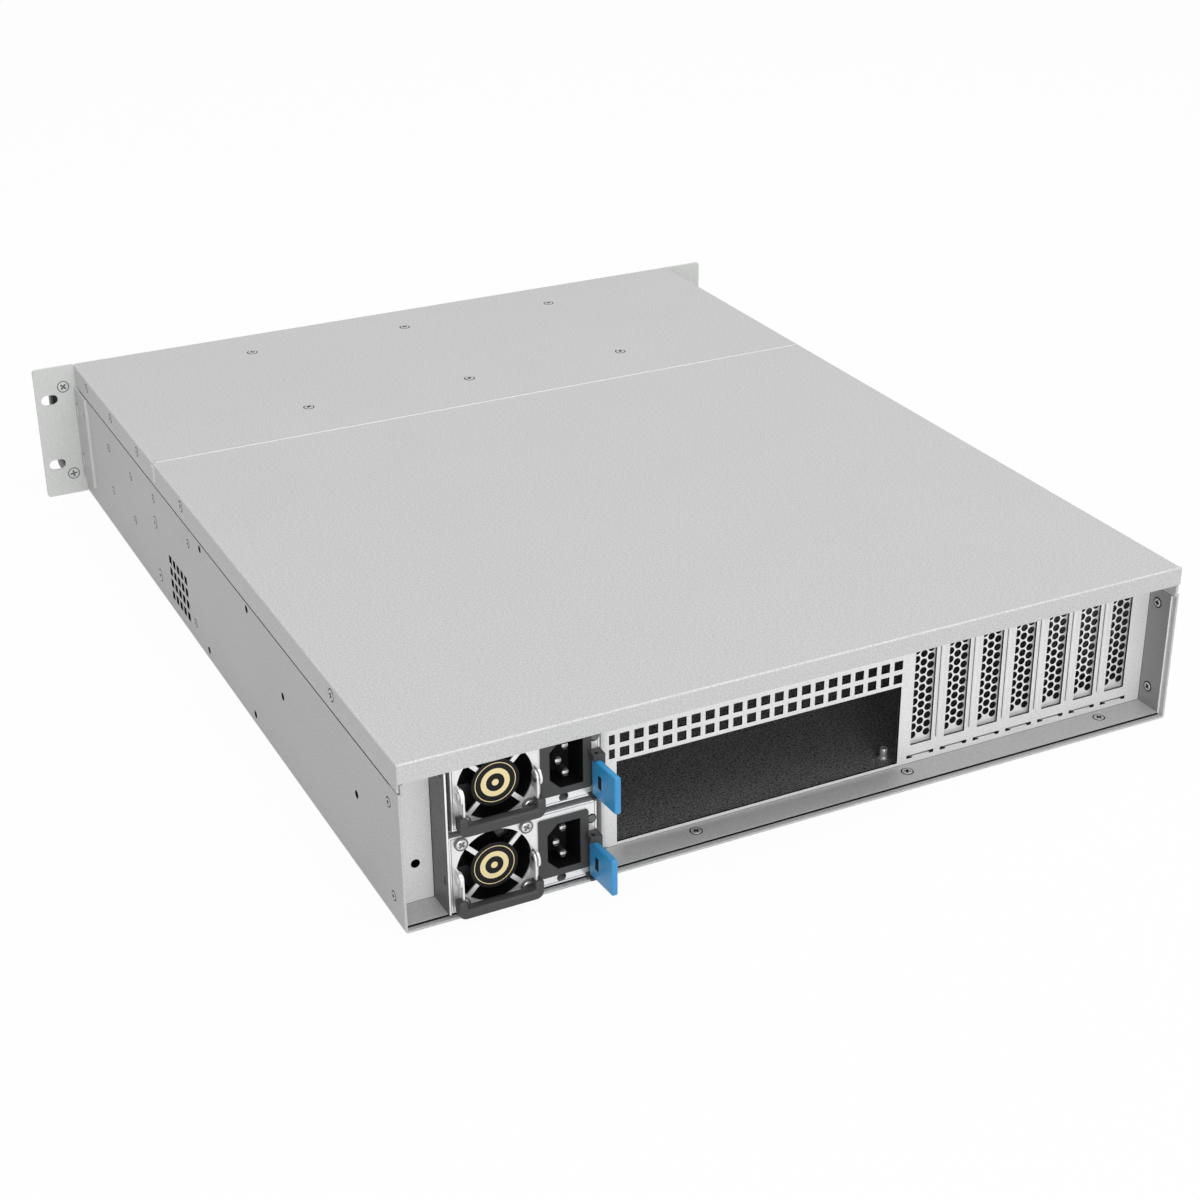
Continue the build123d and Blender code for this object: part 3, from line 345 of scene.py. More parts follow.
def paint(made, colour, *tests):
    """Lay a second colour over a finish where every test holds; here it paints shade and
    highlights.

    A test names a coordinate, its axis, and the two sizes that its value lies between.
    """
    tree = made.node_tree
    grain = next(n for n in tree.nodes if n.type == "GROUP")
    place = node(tree, "ShaderNodeTexCoord")
    mask = None
    for source, axis, low, high in tests:
        parts = node(tree, "ShaderNodeSeparateXYZ")
        tree.links.new(place.outputs[source], parts.inputs[0])
        size = node(tree, "ShaderNodeMath", operation="ABSOLUTE")
        tree.links.new(parts.outputs[axis], size.inputs[0])
        between = node(tree, "ShaderNodeMath", operation="COMPARE")
        between.inputs[1].default_value = (low + high) / 2
        between.inputs[2].default_value = (high - low) / 2
        tree.links.new(size.outputs[0], between.inputs[0])
        if mask is None:
            mask = between
        else:
            both = node(tree, "ShaderNodeMath", operation="MULTIPLY")
            tree.links.new(mask.outputs[0], both.inputs[0])
            tree.links.new(between.outputs[0], both.inputs[1])
            mask = both
    laid = tree.nodes.new("ShaderNodeGroup")
    laid.node_tree = grain.node_tree
    for name in ("Roughness", "Scale", "Contrast", "Cloud"):
        laid.inputs[name].default_value = grain.inputs[name].default_value
    laid.inputs["Color"].default_value = (*colour, 1.0)
    tree.links.new(laid.outputs["Color"], lay_over(made, mask.outputs[0]))


# Modelling helpers


def clear_selection():
    bpy.ops.object.select_all(action="DESELECT")


def take(piece):
    """Make one piece active and alone in the selection."""
    clear_selection()
    piece.select_set(True)
    bpy.context.view_layer.objects.active = piece


def settle(piece, name):
    """Name a finished piece and move its place into its mesh."""
    take(piece)
    bpy.ops.object.transform_apply(location=True, rotation=True, scale=True)
    piece.name = name
    piece.data.name = name
    return piece


def add_block(low, high):
    """Cuboid between two corners in millimetres, active and alone in the selection."""
    clear_selection()
    low, high = Vector(low) * MM, Vector(high) * MM
    bpy.ops.mesh.primitive_cube_add(size=1.0, location=(low + high) / 2)
    block = bpy.context.object
    block.scale = high - low
    bpy.ops.object.transform_apply(location=True, rotation=True, scale=True)
    return block


def add_disc(centre, axis, radius, depth, sides=32):
    """Cylinder along an axis from its base centre, all in millimetres."""
    clear_selection()
    axis = Vector(axis)
    bpy.ops.mesh.primitive_cylinder_add(
        vertices=sides, radius=radius * MM, depth=depth * MM,
        location=(Vector(centre) + axis * depth / 2) * MM,
        rotation=axis.to_track_quat("Z", "Y").to_euler())
    disc = bpy.context.object
    bpy.ops.object.transform_apply(location=True, rotation=True, scale=True)
    return disc


def edit(piece):
    """Enter edit mode on one piece with nothing selected."""
    take(piece)
    bpy.ops.object.mode_set(mode="EDIT")
    bpy.ops.mesh.select_all(action="DESELECT")


def leave_edit():
    bpy.ops.object.mode_set(mode="OBJECT")


def pick(piece, kind, test):
    """Enter edit mode and select the corners, edges or faces that pass a test."""
    edit(piece)
    bpy.ops.mesh.select_mode(type=kind)
    mesh = bmesh.from_edit_mesh(piece.data)
    parts = {"VERT": mesh.verts, "EDGE": mesh.edges, "FACE": mesh.faces}[kind]
    for part in parts:
        part.select = test(part)
    mesh.select_flush_mode()
    bmesh.update_edit_mesh(piece.data)


def pick_faces(piece, test):
    """Select the faces that pass a test of their centre."""
    pick(piece, "FACE", lambda face: test(face.calc_center_median()))


def pick_edges(piece, test):
    """Select the edges whose two ends pass a test."""
    pick(piece, "EDGE", lambda line: test(line.verts[0].co, line.verts[1].co))


def soften(piece, width, segments=3, angle=30.0):
    """Round the sharp edges by a width in millimetres and smooth the rest."""
    take(piece)
    rounding = piece.modifiers.new("rounding", "BEVEL")
    rounding.width = width * MM
    rounding.segments = segments
    rounding.limit_method = "ANGLE"
    rounding.angle_limit = math.radians(angle)
    bpy.ops.object.modifier_apply(modifier=rounding.name)
    return smooth(piece)


def cut(piece, cutter):
    """Take a cutter away from a piece and delete it."""
    take(piece)
    taking = piece.modifiers.new("cut", "BOOLEAN")
    taking.operation = "DIFFERENCE"
    taking.solver = "EXACT"
    taking.object = cutter
    bpy.ops.object.modifier_apply(modifier=taking.name)
    bpy.data.objects.remove(cutter)


def smooth(piece):
    """Smooth all but the sharp edges."""
    take(piece)
    bpy.ops.object.shade_smooth_by_angle(angle=math.radians(35.0))
    return piece


def join(parts):
    """Join several objects into the first one."""
    clear_selection()
    for part in parts:
        part.select_set(True)
    bpy.context.view_layer.objects.active = parts[0]
    bpy.ops.object.join()
    return bpy.context.object


def copy_of(master, place):
    """Copy of a piece with its own mesh, put in place by a matrix in metres."""
    made = master.copy()
    made.data = master.data.copy()
    made.data.transform(place)
    bpy.context.scene.collection.objects.link(made)
    return made


def drop(*masters):
    for master in masters:
        bpy.data.objects.remove(master)


def shift(x=0.0, y=0.0, z=0.0):
    """Matrix of a move in millimetres."""
    return Matrix.Translation(Vector((x, y, z)) * MM)


def facing(seat, axis, turn=0.0):
    """Matrix that stands a piece made along Z on a seat in millimetres, along an axis."""
    aim = Vector(axis).to_track_quat("Z", "Y").to_matrix().to_4x4()
    return shift(*seat) @ aim @ Matrix.Rotation(turn, 4, "Z")


def dress(piece, look, body):
    """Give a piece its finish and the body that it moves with."""
    piece.data.materials.clear()
    piece.data.materials.append(bpy.data.materials[look])
    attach(piece, body)


def islands(name):
    """Low and high corners of each separate solid of a node, in metres."""
    mesh = bmesh.new()
    mesh.from_mesh(frame["nodes"][name].data)
    bmesh.ops.remove_doubles(mesh, verts=mesh.verts, dist=1e-6)
    left = set(mesh.verts)
    boxes = []
    while left:
        reached = [left.pop()]
        found = []
        while reached:
            vert = reached.pop()
            found.append(vert.co.copy())
            for line in vert.link_edges:
                other = line.other_vert(vert)
                if other in left:
                    left.remove(other)
                    reached.append(other)
        low = Vector(min(p[k] for p in found) for k in range(3))
        high = Vector(max(p[k] for p in found) for k in range(3))
        boxes.append((low, high))
    mesh.free()
    return sorted(boxes, key=lambda pair: tuple(pair[0]))


# Sizes and colours that a user may change


class ChassisFinishes(bpy.types.PropertyGroup):
    cover_colour: FloatVectorProperty(
        name="Covers", description="Colour of the two covers", subtype="COLOR",
        default=(0.60, 0.60, 0.60))
    sheet_colour: FloatVectorProperty(
        name="Shell", description="Colour of the base and the ears", subtype="COLOR",
        default=(0.56, 0.56, 0.56))
    ear_colour: FloatVectorProperty(
        name="Ears", description="Colour of the rack ears", subtype="COLOR",
        default=(0.72, 0.735, 0.72))
    panel_colour: FloatVectorProperty(
        name="Rear panel", description="Colour of the rear panel", subtype="COLOR",
        default=(0.84, 0.84, 0.84))
    bright_colour: FloatVectorProperty(
        name="Bright sheet", description="Colour of the module faces and slot covers",
        subtype="COLOR", default=(0.86, 0.86, 0.86))
    # painted shade: the power bay's sheet is darkened because it lies recessed in shade
    shaded_colour: FloatVectorProperty(
        name="Power bay", description="Colour of the power bay's sheet", subtype="COLOR",
        default=(0.16, 0.16, 0.16))
    moulding_colour: FloatVectorProperty(
        name="Mouldings", description="Colour of inlets, grips and carriers", subtype="COLOR",
        default=(0.042, 0.042, 0.043))
    latch_colour: FloatVectorProperty(
        name="Latches", description="Colour of the release latches", subtype="COLOR",
        default=(0.035, 0.30, 0.62))
    film_colour: FloatVectorProperty(
        name="Film", description="Colour of the insulating film", subtype="COLOR",
        default=(0.20, 0.20, 0.20))
    gold_colour: FloatVectorProperty(
        name="Label bands", description="Colour of the bands on the hub labels",
        subtype="COLOR", default=(0.90, 0.76, 0.42))


class ScrewSizes(bpy.types.PropertyGroup):
    recess_width: FloatProperty(
        name="Recess width", description="Width of a recess arm", unit="LENGTH",
        default=1.2 * MM)
    recess_reach: FloatProperty(
        name="Recess reach", description="Reach of a recess arm, as a share of the radius",
        subtype="FACTOR", default=0.66, min=0.2, max=0.9)
    # the dark gap round a head is a ring of painted shade
    gap: FloatProperty(
        name="Gap", description="Dark gap round a sunk head", unit="LENGTH",
        default=0.6 * MM)
    sides: IntProperty(name="Sides", description="Sides of a head", default=28, min=8, max=64)


class SlotCoverSizes(bpy.types.PropertyGroup):
    hole_radius: FloatProperty(
        name="Hole radius", description="Radius of a vent hole", unit="LENGTH",
        default=2.05 * MM)
    column_pitch: FloatProperty(
        name="Column pitch", description="Between columns of holes", unit="LENGTH",
        default=4.2 * MM)
    row_pitch: FloatProperty(
        name="Row pitch", description="Between rows of holes", unit="LENGTH",
        default=4.8 * MM)
    rows: IntProperty(name="Rows", description="Holes in a column", default=12, min=1, max=14)
    bead_height: FloatProperty(
        name="Bead height", description="How far a bead stands out", unit="LENGTH",
        default=1.1 * MM)


class HandleSizes(bpy.types.PropertyGroup):
    corner: FloatProperty(
        name="Corner", description="Radius of the grip's lower corners", unit="LENGTH",
        default=4.0 * MM)
    rounding: FloatProperty(
        name="Rounding", description="Radius of the grip's edges", unit="LENGTH",
        default=1.3 * MM)


class LatchSizes(bpy.types.PropertyGroup):
    rounding: FloatProperty(
        name="Rounding", description="Radius of the latch's edges", unit="LENGTH",
        default=1.0 * MM)
    flare: FloatProperty(
        name="Flare", description="How far the tip leans sideways", unit="LENGTH",
        default=1.2 * MM)
    window_height: FloatProperty(
        name="Window height", description="Height of the small window", unit="LENGTH",
        default=7.0 * MM)
    window_depth: FloatProperty(
        name="Window depth", description="Depth of the small window", unit="LENGTH",
        default=2.4 * MM)


class StageLight(bpy.types.PropertyGroup):
    ambient: FloatProperty(
        name="Ambient", description="Strength of the surrounding light", default=0.32)
    key_power: FloatProperty(
        name="Key lamp", description="Power of the lamp overhead", unit="POWER", default=36.0)
    rear_power: FloatProperty(
        name="Rear lamp", description="Power of the lamp beside the camera", unit="POWER",
        default=20.0)


# Operators


class CHASSIS_OT_finishes(bpy.types.Operator):
    """Give every part of the chassis its finish"""
    bl_idname = "chassis.finishes"
    bl_label = "Finishes"

    def execute(self, context):
        colours = context.scene.chassis_finishes
        cover = finish("cover_sheet", colours.cover_colour, 0.6, metallic=0.12, scale=1000.0,
                       contrast=0.4, cloud=0.02, bump=0.1, specular=0.3)
        # painted highlight on its bends
        paint(cover, (0.70, 0.70, 0.70), ("Normal", "Z", 0.25, 0.96))
        zinc = finish("zinc_sheet", colours.sheet_colour, 0.6, metallic=0.15, scale=1000.0,
                      contrast=0.32, cloud=0.04, bump=0.1, specular=0.3)
        # painted shade: the walls of the holes in the sides are black
        paint(zinc, SHADE_BLACK, ("Normal", "X", 0.0, 0.5), ("Object", "X", 0.2137, 0.2152),
              ("Object", "Y", 0.0, 0.27))
        ear = finish("ear_sheet", colours.ear_colour, 0.55, metallic=0.12, scale=1000.0,
                     contrast=0.15, cloud=0.04, bump=0.08, specular=0.3)
        # painted shade: the ears' faces that look sideways are darker than their backs
        paint(ear, (0.54, 0.54, 0.54), ("Normal", "X", 0.7, 1.1))
        panel = finish("panel_sheet", colours.panel_colour, 0.45, metallic=0.15, scale=1100.0,
                       contrast=0.25, cloud=0.04, bump=0.08, specular=0.3)
        # painted shade: the flanges that face sideways are dark, and those that face up or down
        # darker than the face
        paint(panel, (0.30, 0.30, 0.30), ("Normal", "X", 0.7, 1.1))
        paint(panel, (0.60, 0.60, 0.60), ("Normal", "Z", 0.7, 1.1))
        # painted shade: the walls of its holes are black
        paint(panel, SHADE_BLACK, ("Normal", "Y", 0.0, 0.5), ("Object", "Y", 0.2595, 0.2613))
        finish("bead_sheet", colours.panel_colour, 0.45, metallic=0.15, scale=1100.0,
               contrast=0.15, cloud=0.04, bump=0.08, specular=0.3)
        slot_sheet = finish("slot_sheet", colours.bright_colour, 0.3, metallic=0.4, scale=1300.0,
                            contrast=0.12, cloud=0.05, bump=0.08)
        # painted shade: the walls of the plates' holes and their edges are black
        paint(slot_sheet, SHADE_BLACK, ("Normal", "Y", 0.0, 0.5), ("Object", "Y", 0.2580, 0.2594))
        # painted shade: the power bay's sheet, and the discs in the ear and fan screws' recesses
        finish("shaded_sheet", colours.shaded_colour, 0.45, metallic=0.3, scale=900.0,
               contrast=0.25, cloud=0.05, bump=0.1)
        finish("bright_sheet", colours.bright_colour, 0.3, metallic=0.5, scale=1300.0,
               contrast=0.12, cloud=0.05, bump=0.08)
        finish("dark_moulding", colours.moulding_colour, 0.5, scale=1800.0, contrast=0.3,
               bump=0.3)
        finish("latch_plastic", colours.latch_colour, 0.38, scale=1600.0, contrast=0.06,
               cloud=0.03, bump=0.12, coat=0.1)
        finish("insulating_film", colours.film_colour, 0.6, scale=1100.0, contrast=3.0,
               bump=0.5, depth=0.3, specular=0.3)
        for name, (colour, roughness, others) in SMALL_FINISHES.items():
            finish(name, colour, roughness, **others)
        label_finish(colours.gold_colour)
        for part in frame["record"]["subparts"]:
            name = part["node"]
            look = NODE_FINISHES.get(name, part["material_slot"])
            shown = frame["nodes"][name]
            shown.data.materials.clear()
            shown.data.materials.append(bpy.data.materials[look])
        return {"FINISHED"}


def make_screw(radius, height, context):
    """Head with a cross recess, and a disc of painted shade under it; along Z with the top at 0.
    """
    sizes = context.scene.chassis_screws
    head = add_disc((0, 0, -height), UP, radius, height, sizes.sides)
    soften(head, min(height * 0.4, radius * 0.35), 3)
    reach = radius * sizes.recess_reach
    half = sizes.recess_width / MM / 2
    for x, y in ((reach, half), (half, reach)):
        cut(head, add_block((-x, -y, -0.6), (x, y, 1.0)))
    smooth(head)
    # painted shade: a dark disc under the head, a gap wider, seen in the recess and round the head
    dark = add_disc((0, 0, -height), UP, radius + sizes.gap / MM, height - 0.3,
                    sizes.sides)
    return head, dark


def lay_screws(places, context):
    """Screws on seats with an axis, radius and height each; heads joined, darks joined."""
    masters = {}
    heads, shadow_discs = [], []
    for count, (seat, axis, radius, height) in enumerate(places):
        key = (round(radius, 2), height)
        if key not in masters:
            masters[key] = make_screw(radius, height, context)
        place = facing(seat, axis, 0.3 + count * 0.7)
        heads.append(copy_of(masters[key][0], place))
        shadow_discs.append(copy_of(masters[key][1], place))
    for pair in masters.values():
        drop(*pair)
    return join(heads), join(shadow_discs)


def shell_screw_places():
    """Tops of the CAD's screw heads, from their boxes."""
    places = []
    for low, high in islands("screws"):
        low, high = low / MM, high / MM
        size = high - low
        middle = (low + high) / 2
        if abs(size.x - size.y) < 0.5 and high.z > SHELL_TOP:
            places.append(((middle.x, middle.y, high.z), UP, size.x / 2, SCREW_HEIGHT))
        else:
            side = 1.0 if middle.x > 0 else -1.0
            outer = high.x if side > 0 else low.x
            places.append(((outer, middle.y, middle.z), (side, 0, 0), size.y / 2,
                           SCREW_HEIGHT))
    return places


def inner_screw_places():
    """Screws on the panel's foot and inside its side flanges."""
    places = [((x, SCREW_ROW, FOOT_TOP + SCREW_PROUD), UP, 2.7, SCREW_HEIGHT)
              for x in FOOT_SCREWS]
    places += [((side * FLANGE_SCREW_X, SCREW_ROW, z), (-side, 0, 0), 2.3, SCREW_HEIGHT)
               for side in (-1, 1) for z in FLANGE_SCREWS]
    return places


def ear_screw_places():
    """Screws on the backs of the ears."""
    return [((side * EAR_SCREW_X, EAR_REAR + SCREW_PROUD, z), REARWARD, 3.3, SCREW_HEIGHT)
            for side in (-1, 1) for z in EAR_SCREWS]


class CHASSIS_OT_screws(bpy.types.Operator):
    """Screws with cross recesses in place of the plain ones"""
    bl_idname = "chassis.screws"
    bl_label = "Screws"

    def execute(self, context):
        # the second piece of each set is painted shade in the recesses and round the heads
        for name, places, look, shade in (
                ("shell", shell_screw_places(), "screw_zinc", "painted_shadow_black"),
                ("panel", inner_screw_places(), "screw_zinc", "painted_shadow_black"),
                ("ear", ear_screw_places(), "ear_sheet", "shaded_sheet")):
            heads, shadow_discs = lay_screws(places, context)
            heads = settle(heads, f"{name}_screws")
            if name == "shell":
                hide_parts("screws")
            dress(heads, look, "chassis")
            dress(settle(shadow_discs, f"{name}_screw_recesses"), shade, "chassis")
        return {"FINISHED"}


class CHASSIS_OT_slot_covers(bpy.types.Operator):
    """Expansion slot covers with round vent holes"""
    bl_idname = "chassis.slot_covers"
    bl_label = "Slot covers"

    def execute(self, context):
        sizes = context.scene.chassis_slots
        column_pitch, row_pitch = sizes.column_pitch / MM, sizes.row_pitch / MM
        front = PANEL_BACK - 0.9
        back = front - COVER_SHEET
        top = SLOT_SHELF + COVER_SHEET
        wide, slim = COVER_HALF_WIDTH, COVER_FOOT_HALF_WIDTH
        plate = add_block((-wide, back, COVER_LOW), (wide, front, top))
        drills = []
        for column in (-1, 0, 1):
            stagger = row_pitch / 2 if column == 0 else 0.0
            for row in range(sizes.rows):
                z = SLOT_LOW + 4.6 + stagger + row * row_pitch
                drills.append(add_disc((column * column_pitch, back - 1, z), REARWARD,
                                       sizes.hole_radius / MM, 3.0, 14))
        cut(plate, join(drills))
        foot = add_block((-slim, back, FOOT_TOP), (slim, front, COVER_FOOT_TOP))
        tab = add_block((-wide - 0.3, back, SLOT_SHELF),
                        (wide + 0.3, PANEL_FACE + COVER_TAB_REACH, top))
        peg = add_block((-slim, back, PEG_LOW),
                        (slim, PANEL_FACE + PEG_REACH, PEG_LOW + COVER_SHEET))
        master = join([plate, soften(foot, 0.2, 2), soften(tab, 0.2, 2), soften(peg, 0.2, 2)])
        smooth(master)
        made = [copy_of(master, shift(x=x)) for x in slot_centres()]
        drop(master)
        piece = settle(join(made), "slot_cover_plates")
        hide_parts("slot_covers")
        dress(piece, "slot_sheet", "chassis")
        return {"FINISHED"}


class CHASSIS_OT_beads(bpy.types.Operator):
    """Rounded stiffening beads between the slot openings"""
    bl_idname = "chassis.beads"
    bl_label = "Beads"

    def execute(self, context):
        height = context.scene.chassis_slots.bead_height / MM
        bead = add_block((-BEAD_HALF_WIDTH, PANEL_FACE - 0.4, SLOT_LOW + 1.6),
                         (BEAD_HALF_WIDTH, PANEL_FACE + height, SLOT_TOP - 1.2))
        pick_edges(bead, lambda a, b: min(a.y, b.y) > (PANEL_FACE + 0.1) * MM)
        bpy.ops.mesh.bevel(offset=1.05 * MM, segments=5, profile=0.6)
        leave_edit()
        smooth(bead)
        made = [copy_of(bead, shift(x=x - SLOT_PITCH / 2)) for x in slot_centres()[:-1]]
        drop(bead)
        piece = settle(join(made), "panel_beads")
        dress(piece, "bead_sheet", "chassis")
        return {"FINISHED"}


class CHASSIS_OT_seam(bpy.types.Operator):
    """Painted highlight on the rear cover's cut edge along the seam and on the bay wall's end, and
    a strip of painted shadow at the panel's foot
    """
    bl_idname = "chassis.seam"
    bl_label = "Seam"

    def execute(self, context):
        strips = [add_block((-213.0, SEAM + 0.15, SHELL_TOP - 0.2),
                            (213.0, SEAM + 1.3, SHELL_TOP + 0.05))]
        for side in (-1, 1):
            outer = side * (HALF_WIDTH + 0.05)
            inner = side * (HALF_WIDTH - 0.3)
            near, far = min(outer, inner), max(outer, inner)
            strips.append(add_block((near, SEAM + 0.15, SHELL_TOP - 12.0),
                                    (far, SEAM + 2.0, SHELL_TOP - 1.6)))
            strips.append(add_block((near, SEAM - 3.6, SHELL_TOP - 3.4),
                                    (far, SEAM - 0.15, SHELL_TOP - 2.2)))
        strips.append(add_block((192.05, SHELL_REAR - 1.1, FOOT_TOP + 0.2),
                                (192.95, SHELL_REAR - 0.93, 77.2)))
        for strip in strips:
            soften(strip, 0.03, 2)
        piece = settle(join(strips), "edge_highlight_strips")
        dress(piece, "painted_edge_highlight", "chassis")
        # painted shadow: a black strip in the gap at the panel's foot
        gap = soften(add_block((-213.0, 276.9, 1.15), (213.0, 277.7, 2.0)), 0.3, 2)
        dress(settle(gap, "foot_gap_shadow"), "painted_shadow_black", "chassis")
        return {"FINISHED"}


class CHASSIS_OT_ear_tabs(bpy.types.Operator):
    """Bent locating tabs on the ears' side flanges"""
    bl_idname = "chassis.ear_tabs"
    bl_label = "Ear tabs"

    def execute(self, context):
        made = []
        for side in (-1, 1):
            face = side * (HALF_WIDTH + 1.6)
            out = side * (HALF_WIDTH + 2.3)
            near, far = min(face, out), max(face, out)
            for low in EAR_TABS:
                top = low + TAB_HEIGHT
                upright = add_block((near, -273.6, low), (far, -272.4, top))
                hook = add_block((near, -276.4, top - 1.2), (far, -272.4, top))
                made += [soften(upright, 0.3, 2), soften(hook, 0.3, 2)]
        piece = settle(join(made), "ear_locating_tabs")
        dress(piece, "ear_sheet", "chassis")
        return {"FINISHED"}


class CHASSIS_OT_standoffs(bpy.types.Operator):
    """Slim hollow posts on six-sided feet for the board, and film up to their feet"""
    bl_idname = "chassis.standoffs"
    bl_label = "Standoffs"

    def execute(self, context):
        post = add_disc((0, 0, 0), UP, POST_RADIUS, POST_HEIGHT, 24)
        soften(post, 0.25, 2)
        cut(post, add_disc((0, 0, POST_BORE_LOW), UP, POST_BORE, 6.0, 20))
        foot = add_disc((0, 0, 0), UP, POST_FOOT_RADIUS, POST_FOOT_HEIGHT, 6)
        soften(foot, 0.2, 2)
        master = smooth(join([post, foot]))
        made, collars = [], []
        for low, high in islands("standoffs"):
            middle = (low + high) / 2 / MM
            made.append(copy_of(master, shift(middle.x, middle.y, low.z / MM)))
            collar = add_block(
                (middle.x - FILM_PATCH, middle.y - FILM_PATCH, FILM_TOP - 0.35),
                (middle.x + FILM_PATCH, middle.y + FILM_PATCH, FILM_TOP + 0.05))
            collars.append(soften(collar, 0.1, 2))
        drop(master)
        dress(settle(join(collars), "film_collars"), "insulating_film", "chassis")
        piece = settle(join(made), "board_posts")
        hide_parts("standoffs")
        dress(piece, "standoff_brass", "chassis")
        return {"FINISHED"}


class CHASSIS_OT_fan_screws(bpy.types.Operator):
    """Pan-head screws at the corners of the module fans"""
    bl_idname = "chassis.fan_screws"
    bl_label = "Fan screws"

    def execute(self, context):
        for module in MODULES:
            corner = face_corner(module)
            steps = (-FAN_SCREW_STEP, FAN_SCREW_STEP)
            seats = [corner + Vector((FAN_X + x, FAN_SCREW_HEIGHT, FAN_Z + z))
                     for x in steps for z in steps]
            places = [(seat, REARWARD, 2.7, FAN_SCREW_HEIGHT) for seat in seats]
            heads, shadow_discs = lay_screws(places, context)
            dress(settle(heads, f"fan_screws_{module}"), "screw_chrome",
                  MODULE_BODY[module])
            # painted shade: shaded discs in the recesses and round the heads
            dress(settle(shadow_discs, f"fan_screw_recesses_{module}"), "shaded_sheet",
                  MODULE_BODY[module])
        return {"FINISHED"}


class CHASSIS_OT_labels(bpy.types.Operator):
    """Plain round labels on the finger guards' hubs"""
    bl_idname = "chassis.labels"
    bl_label = "Labels"

    def execute(self, context):
        for module in MODULES:
            centre = (face_corner(module) + Vector((FAN_X, 0.0, FAN_Z))) * MM
            clear_selection()
            bpy.ops.mesh.primitive_circle_add(
                vertices=64, radius=LABEL_RADIUS * MM, fill_type="NGON", location=centre,
                rotation=(-math.pi / 2, 0, 0))
            disc = bpy.context.object
            bpy.ops.object.transform_apply(location=True, rotation=True, scale=True)
            pick_faces(disc, lambda centre: True)
            bpy.ops.mesh.extrude_region_move(
                TRANSFORM_OT_translate={"value": (0, LABEL_SHEET * MM, 0)})
            leave_edit()
            piece = settle(disc, f"hub_label_{module}")
            dress(piece, "label_print", MODULE_BODY[module])
        return {"FINISHED"}


def make_socket_shade_box(middle):
    """Open box with two cut corners that lines an inlet's well with painted shade."""
    low = middle + Vector((-WELL_HALF_WIDTH, -WELL_DEPTH, -WELL_HALF_HEIGHT))
    high = middle + Vector((WELL_HALF_WIDTH, 0.55, WELL_HALF_HEIGHT))
    box = add_block(low, high)
    edge_x = (high.x - 0.1) * MM
    pick_edges(box, lambda a, b: min(a.x, b.x) > edge_x and abs(a.y - b.y) > MM)
    bpy.ops.mesh.bevel(offset=WELL_CORNER * MM, segments=1)
    leave_edit()
    mouth = (high.y - 0.01) * MM
    pick_faces(box, lambda centre: centre.y > mouth)
    bpy.ops.mesh.delete(type="FACE")
    leave_edit()
    wall = box.modifiers.new("wall", "SOLIDIFY")
    wall.thickness = 0.12 * MM
    wall.offset = -1.0
    bpy.ops.object.modifier_apply(modifier=wall.name)
    return box


class CHASSIS_OT_inlets(bpy.types.Operator):
    """Black lining of painted shade, and blades darkened by painted shade with bright tips in the
    inlets
    """
    bl_idname = "chassis.inlets"
    bl_label = "Inlets"

    def execute(self, context):
        for module in MODULES:
            corner = face_corner(module)
            middle = corner + Vector((INLET_X, 0.0, INLET_Z))
            lining = settle(make_socket_shade_box(middle), f"inlet_shade_box_{module}")
            dress(lining, "inlet_shadow_black", MODULE_BODY[module])
            blades, tips = [], []
            for step, lead in ((-1, 0.0), (0, CONTACT_LEAD), (1, 0.0)):
                base = middle + Vector((lead - 1.2, CONTACT_ROOT, step * CONTACT_STEP))
                x, z = BLADE_HALVES
                blade = add_block(base + Vector((-x, 0, -z)),
                                  base + Vector((x, BLADE_LENGTH, z)))
                x, z = TIP_HALVES
                tip = add_block(base + Vector((-x, BLADE_LENGTH - 0.1, -z)),
                                base + Vector((x, TIP_END, z)))
                blades.append(soften(blade, 0.2, 2))
                tips.append(soften(tip, 0.35, 2))
            dress(settle(join(blades), f"inlet_blades_{module}"), "contact_shade",
                  MODULE_BODY[module])
            dress(settle(join(tips), f"inlet_blade_tips_{module}"), "screw_chrome",
                  MODULE_BODY[module])
        return {"FINISHED"}


def make_grip(centre, floor, low, sizes):
    """Moulded U of a module handle, open at the top."""
    grip = add_block((centre - GRIP_HALF_SPAN, low, floor + 0.3),
                     (centre + GRIP_HALF_SPAN, low + GRIP_DEPTH, floor + GRIP_TOP))
    below = (floor + 1.0) * MM
    pick_edges(grip, lambda a, b: max(a.z, b.z) < below and abs(a.y - b.y) > MM)
    bpy.ops.mesh.bevel(offset=sizes.corner, segments=6)
    leave_edit()
    inside = GRIP_HALF_SPAN - GRIP_SIDE
    cut(grip, add_block((centre - inside, low - 1, floor + GRIP_BAR_TOP),
                        (centre + inside, low + GRIP_DEPTH + 1, floor + GRIP_TOP + 2)))
    return soften(grip, sizes.rounding / MM, 4)


def make_arm(side, centre, pivot, floor):
    """Sheet arm of a module handle with its round end and rivet."""
    outer = centre + side * (LUG_HALF_SPAN - 0.3)
    inner = outer - side * ARM_SHEET
    low_x, high_x = min(outer, inner), max(outer, inner)
    y, z = pivot
    strip = add_block((low_x, y - ARM_RADIUS, floor + 6.0), (high_x, y + ARM_RADIUS, z))
    eye = add_disc((low_x, y, z), (1, 0, 0), ARM_RADIUS, ARM_SHEET, 28)
    rivet = add_disc((centre + side * (LUG_HALF_SPAN - 1.3), y, z), (side, 0, 0), 1.45, 2.5, 20)
    cap = add_disc((centre + side * (LUG_HALF_SPAN + 1.02), y, z), (side, 0, 0), 2.2, 0.5, 24)
    return [soften(strip, 0.25, 2), soften(eye, 0.25, 2), rivet, soften(cap, 0.3, 3)]


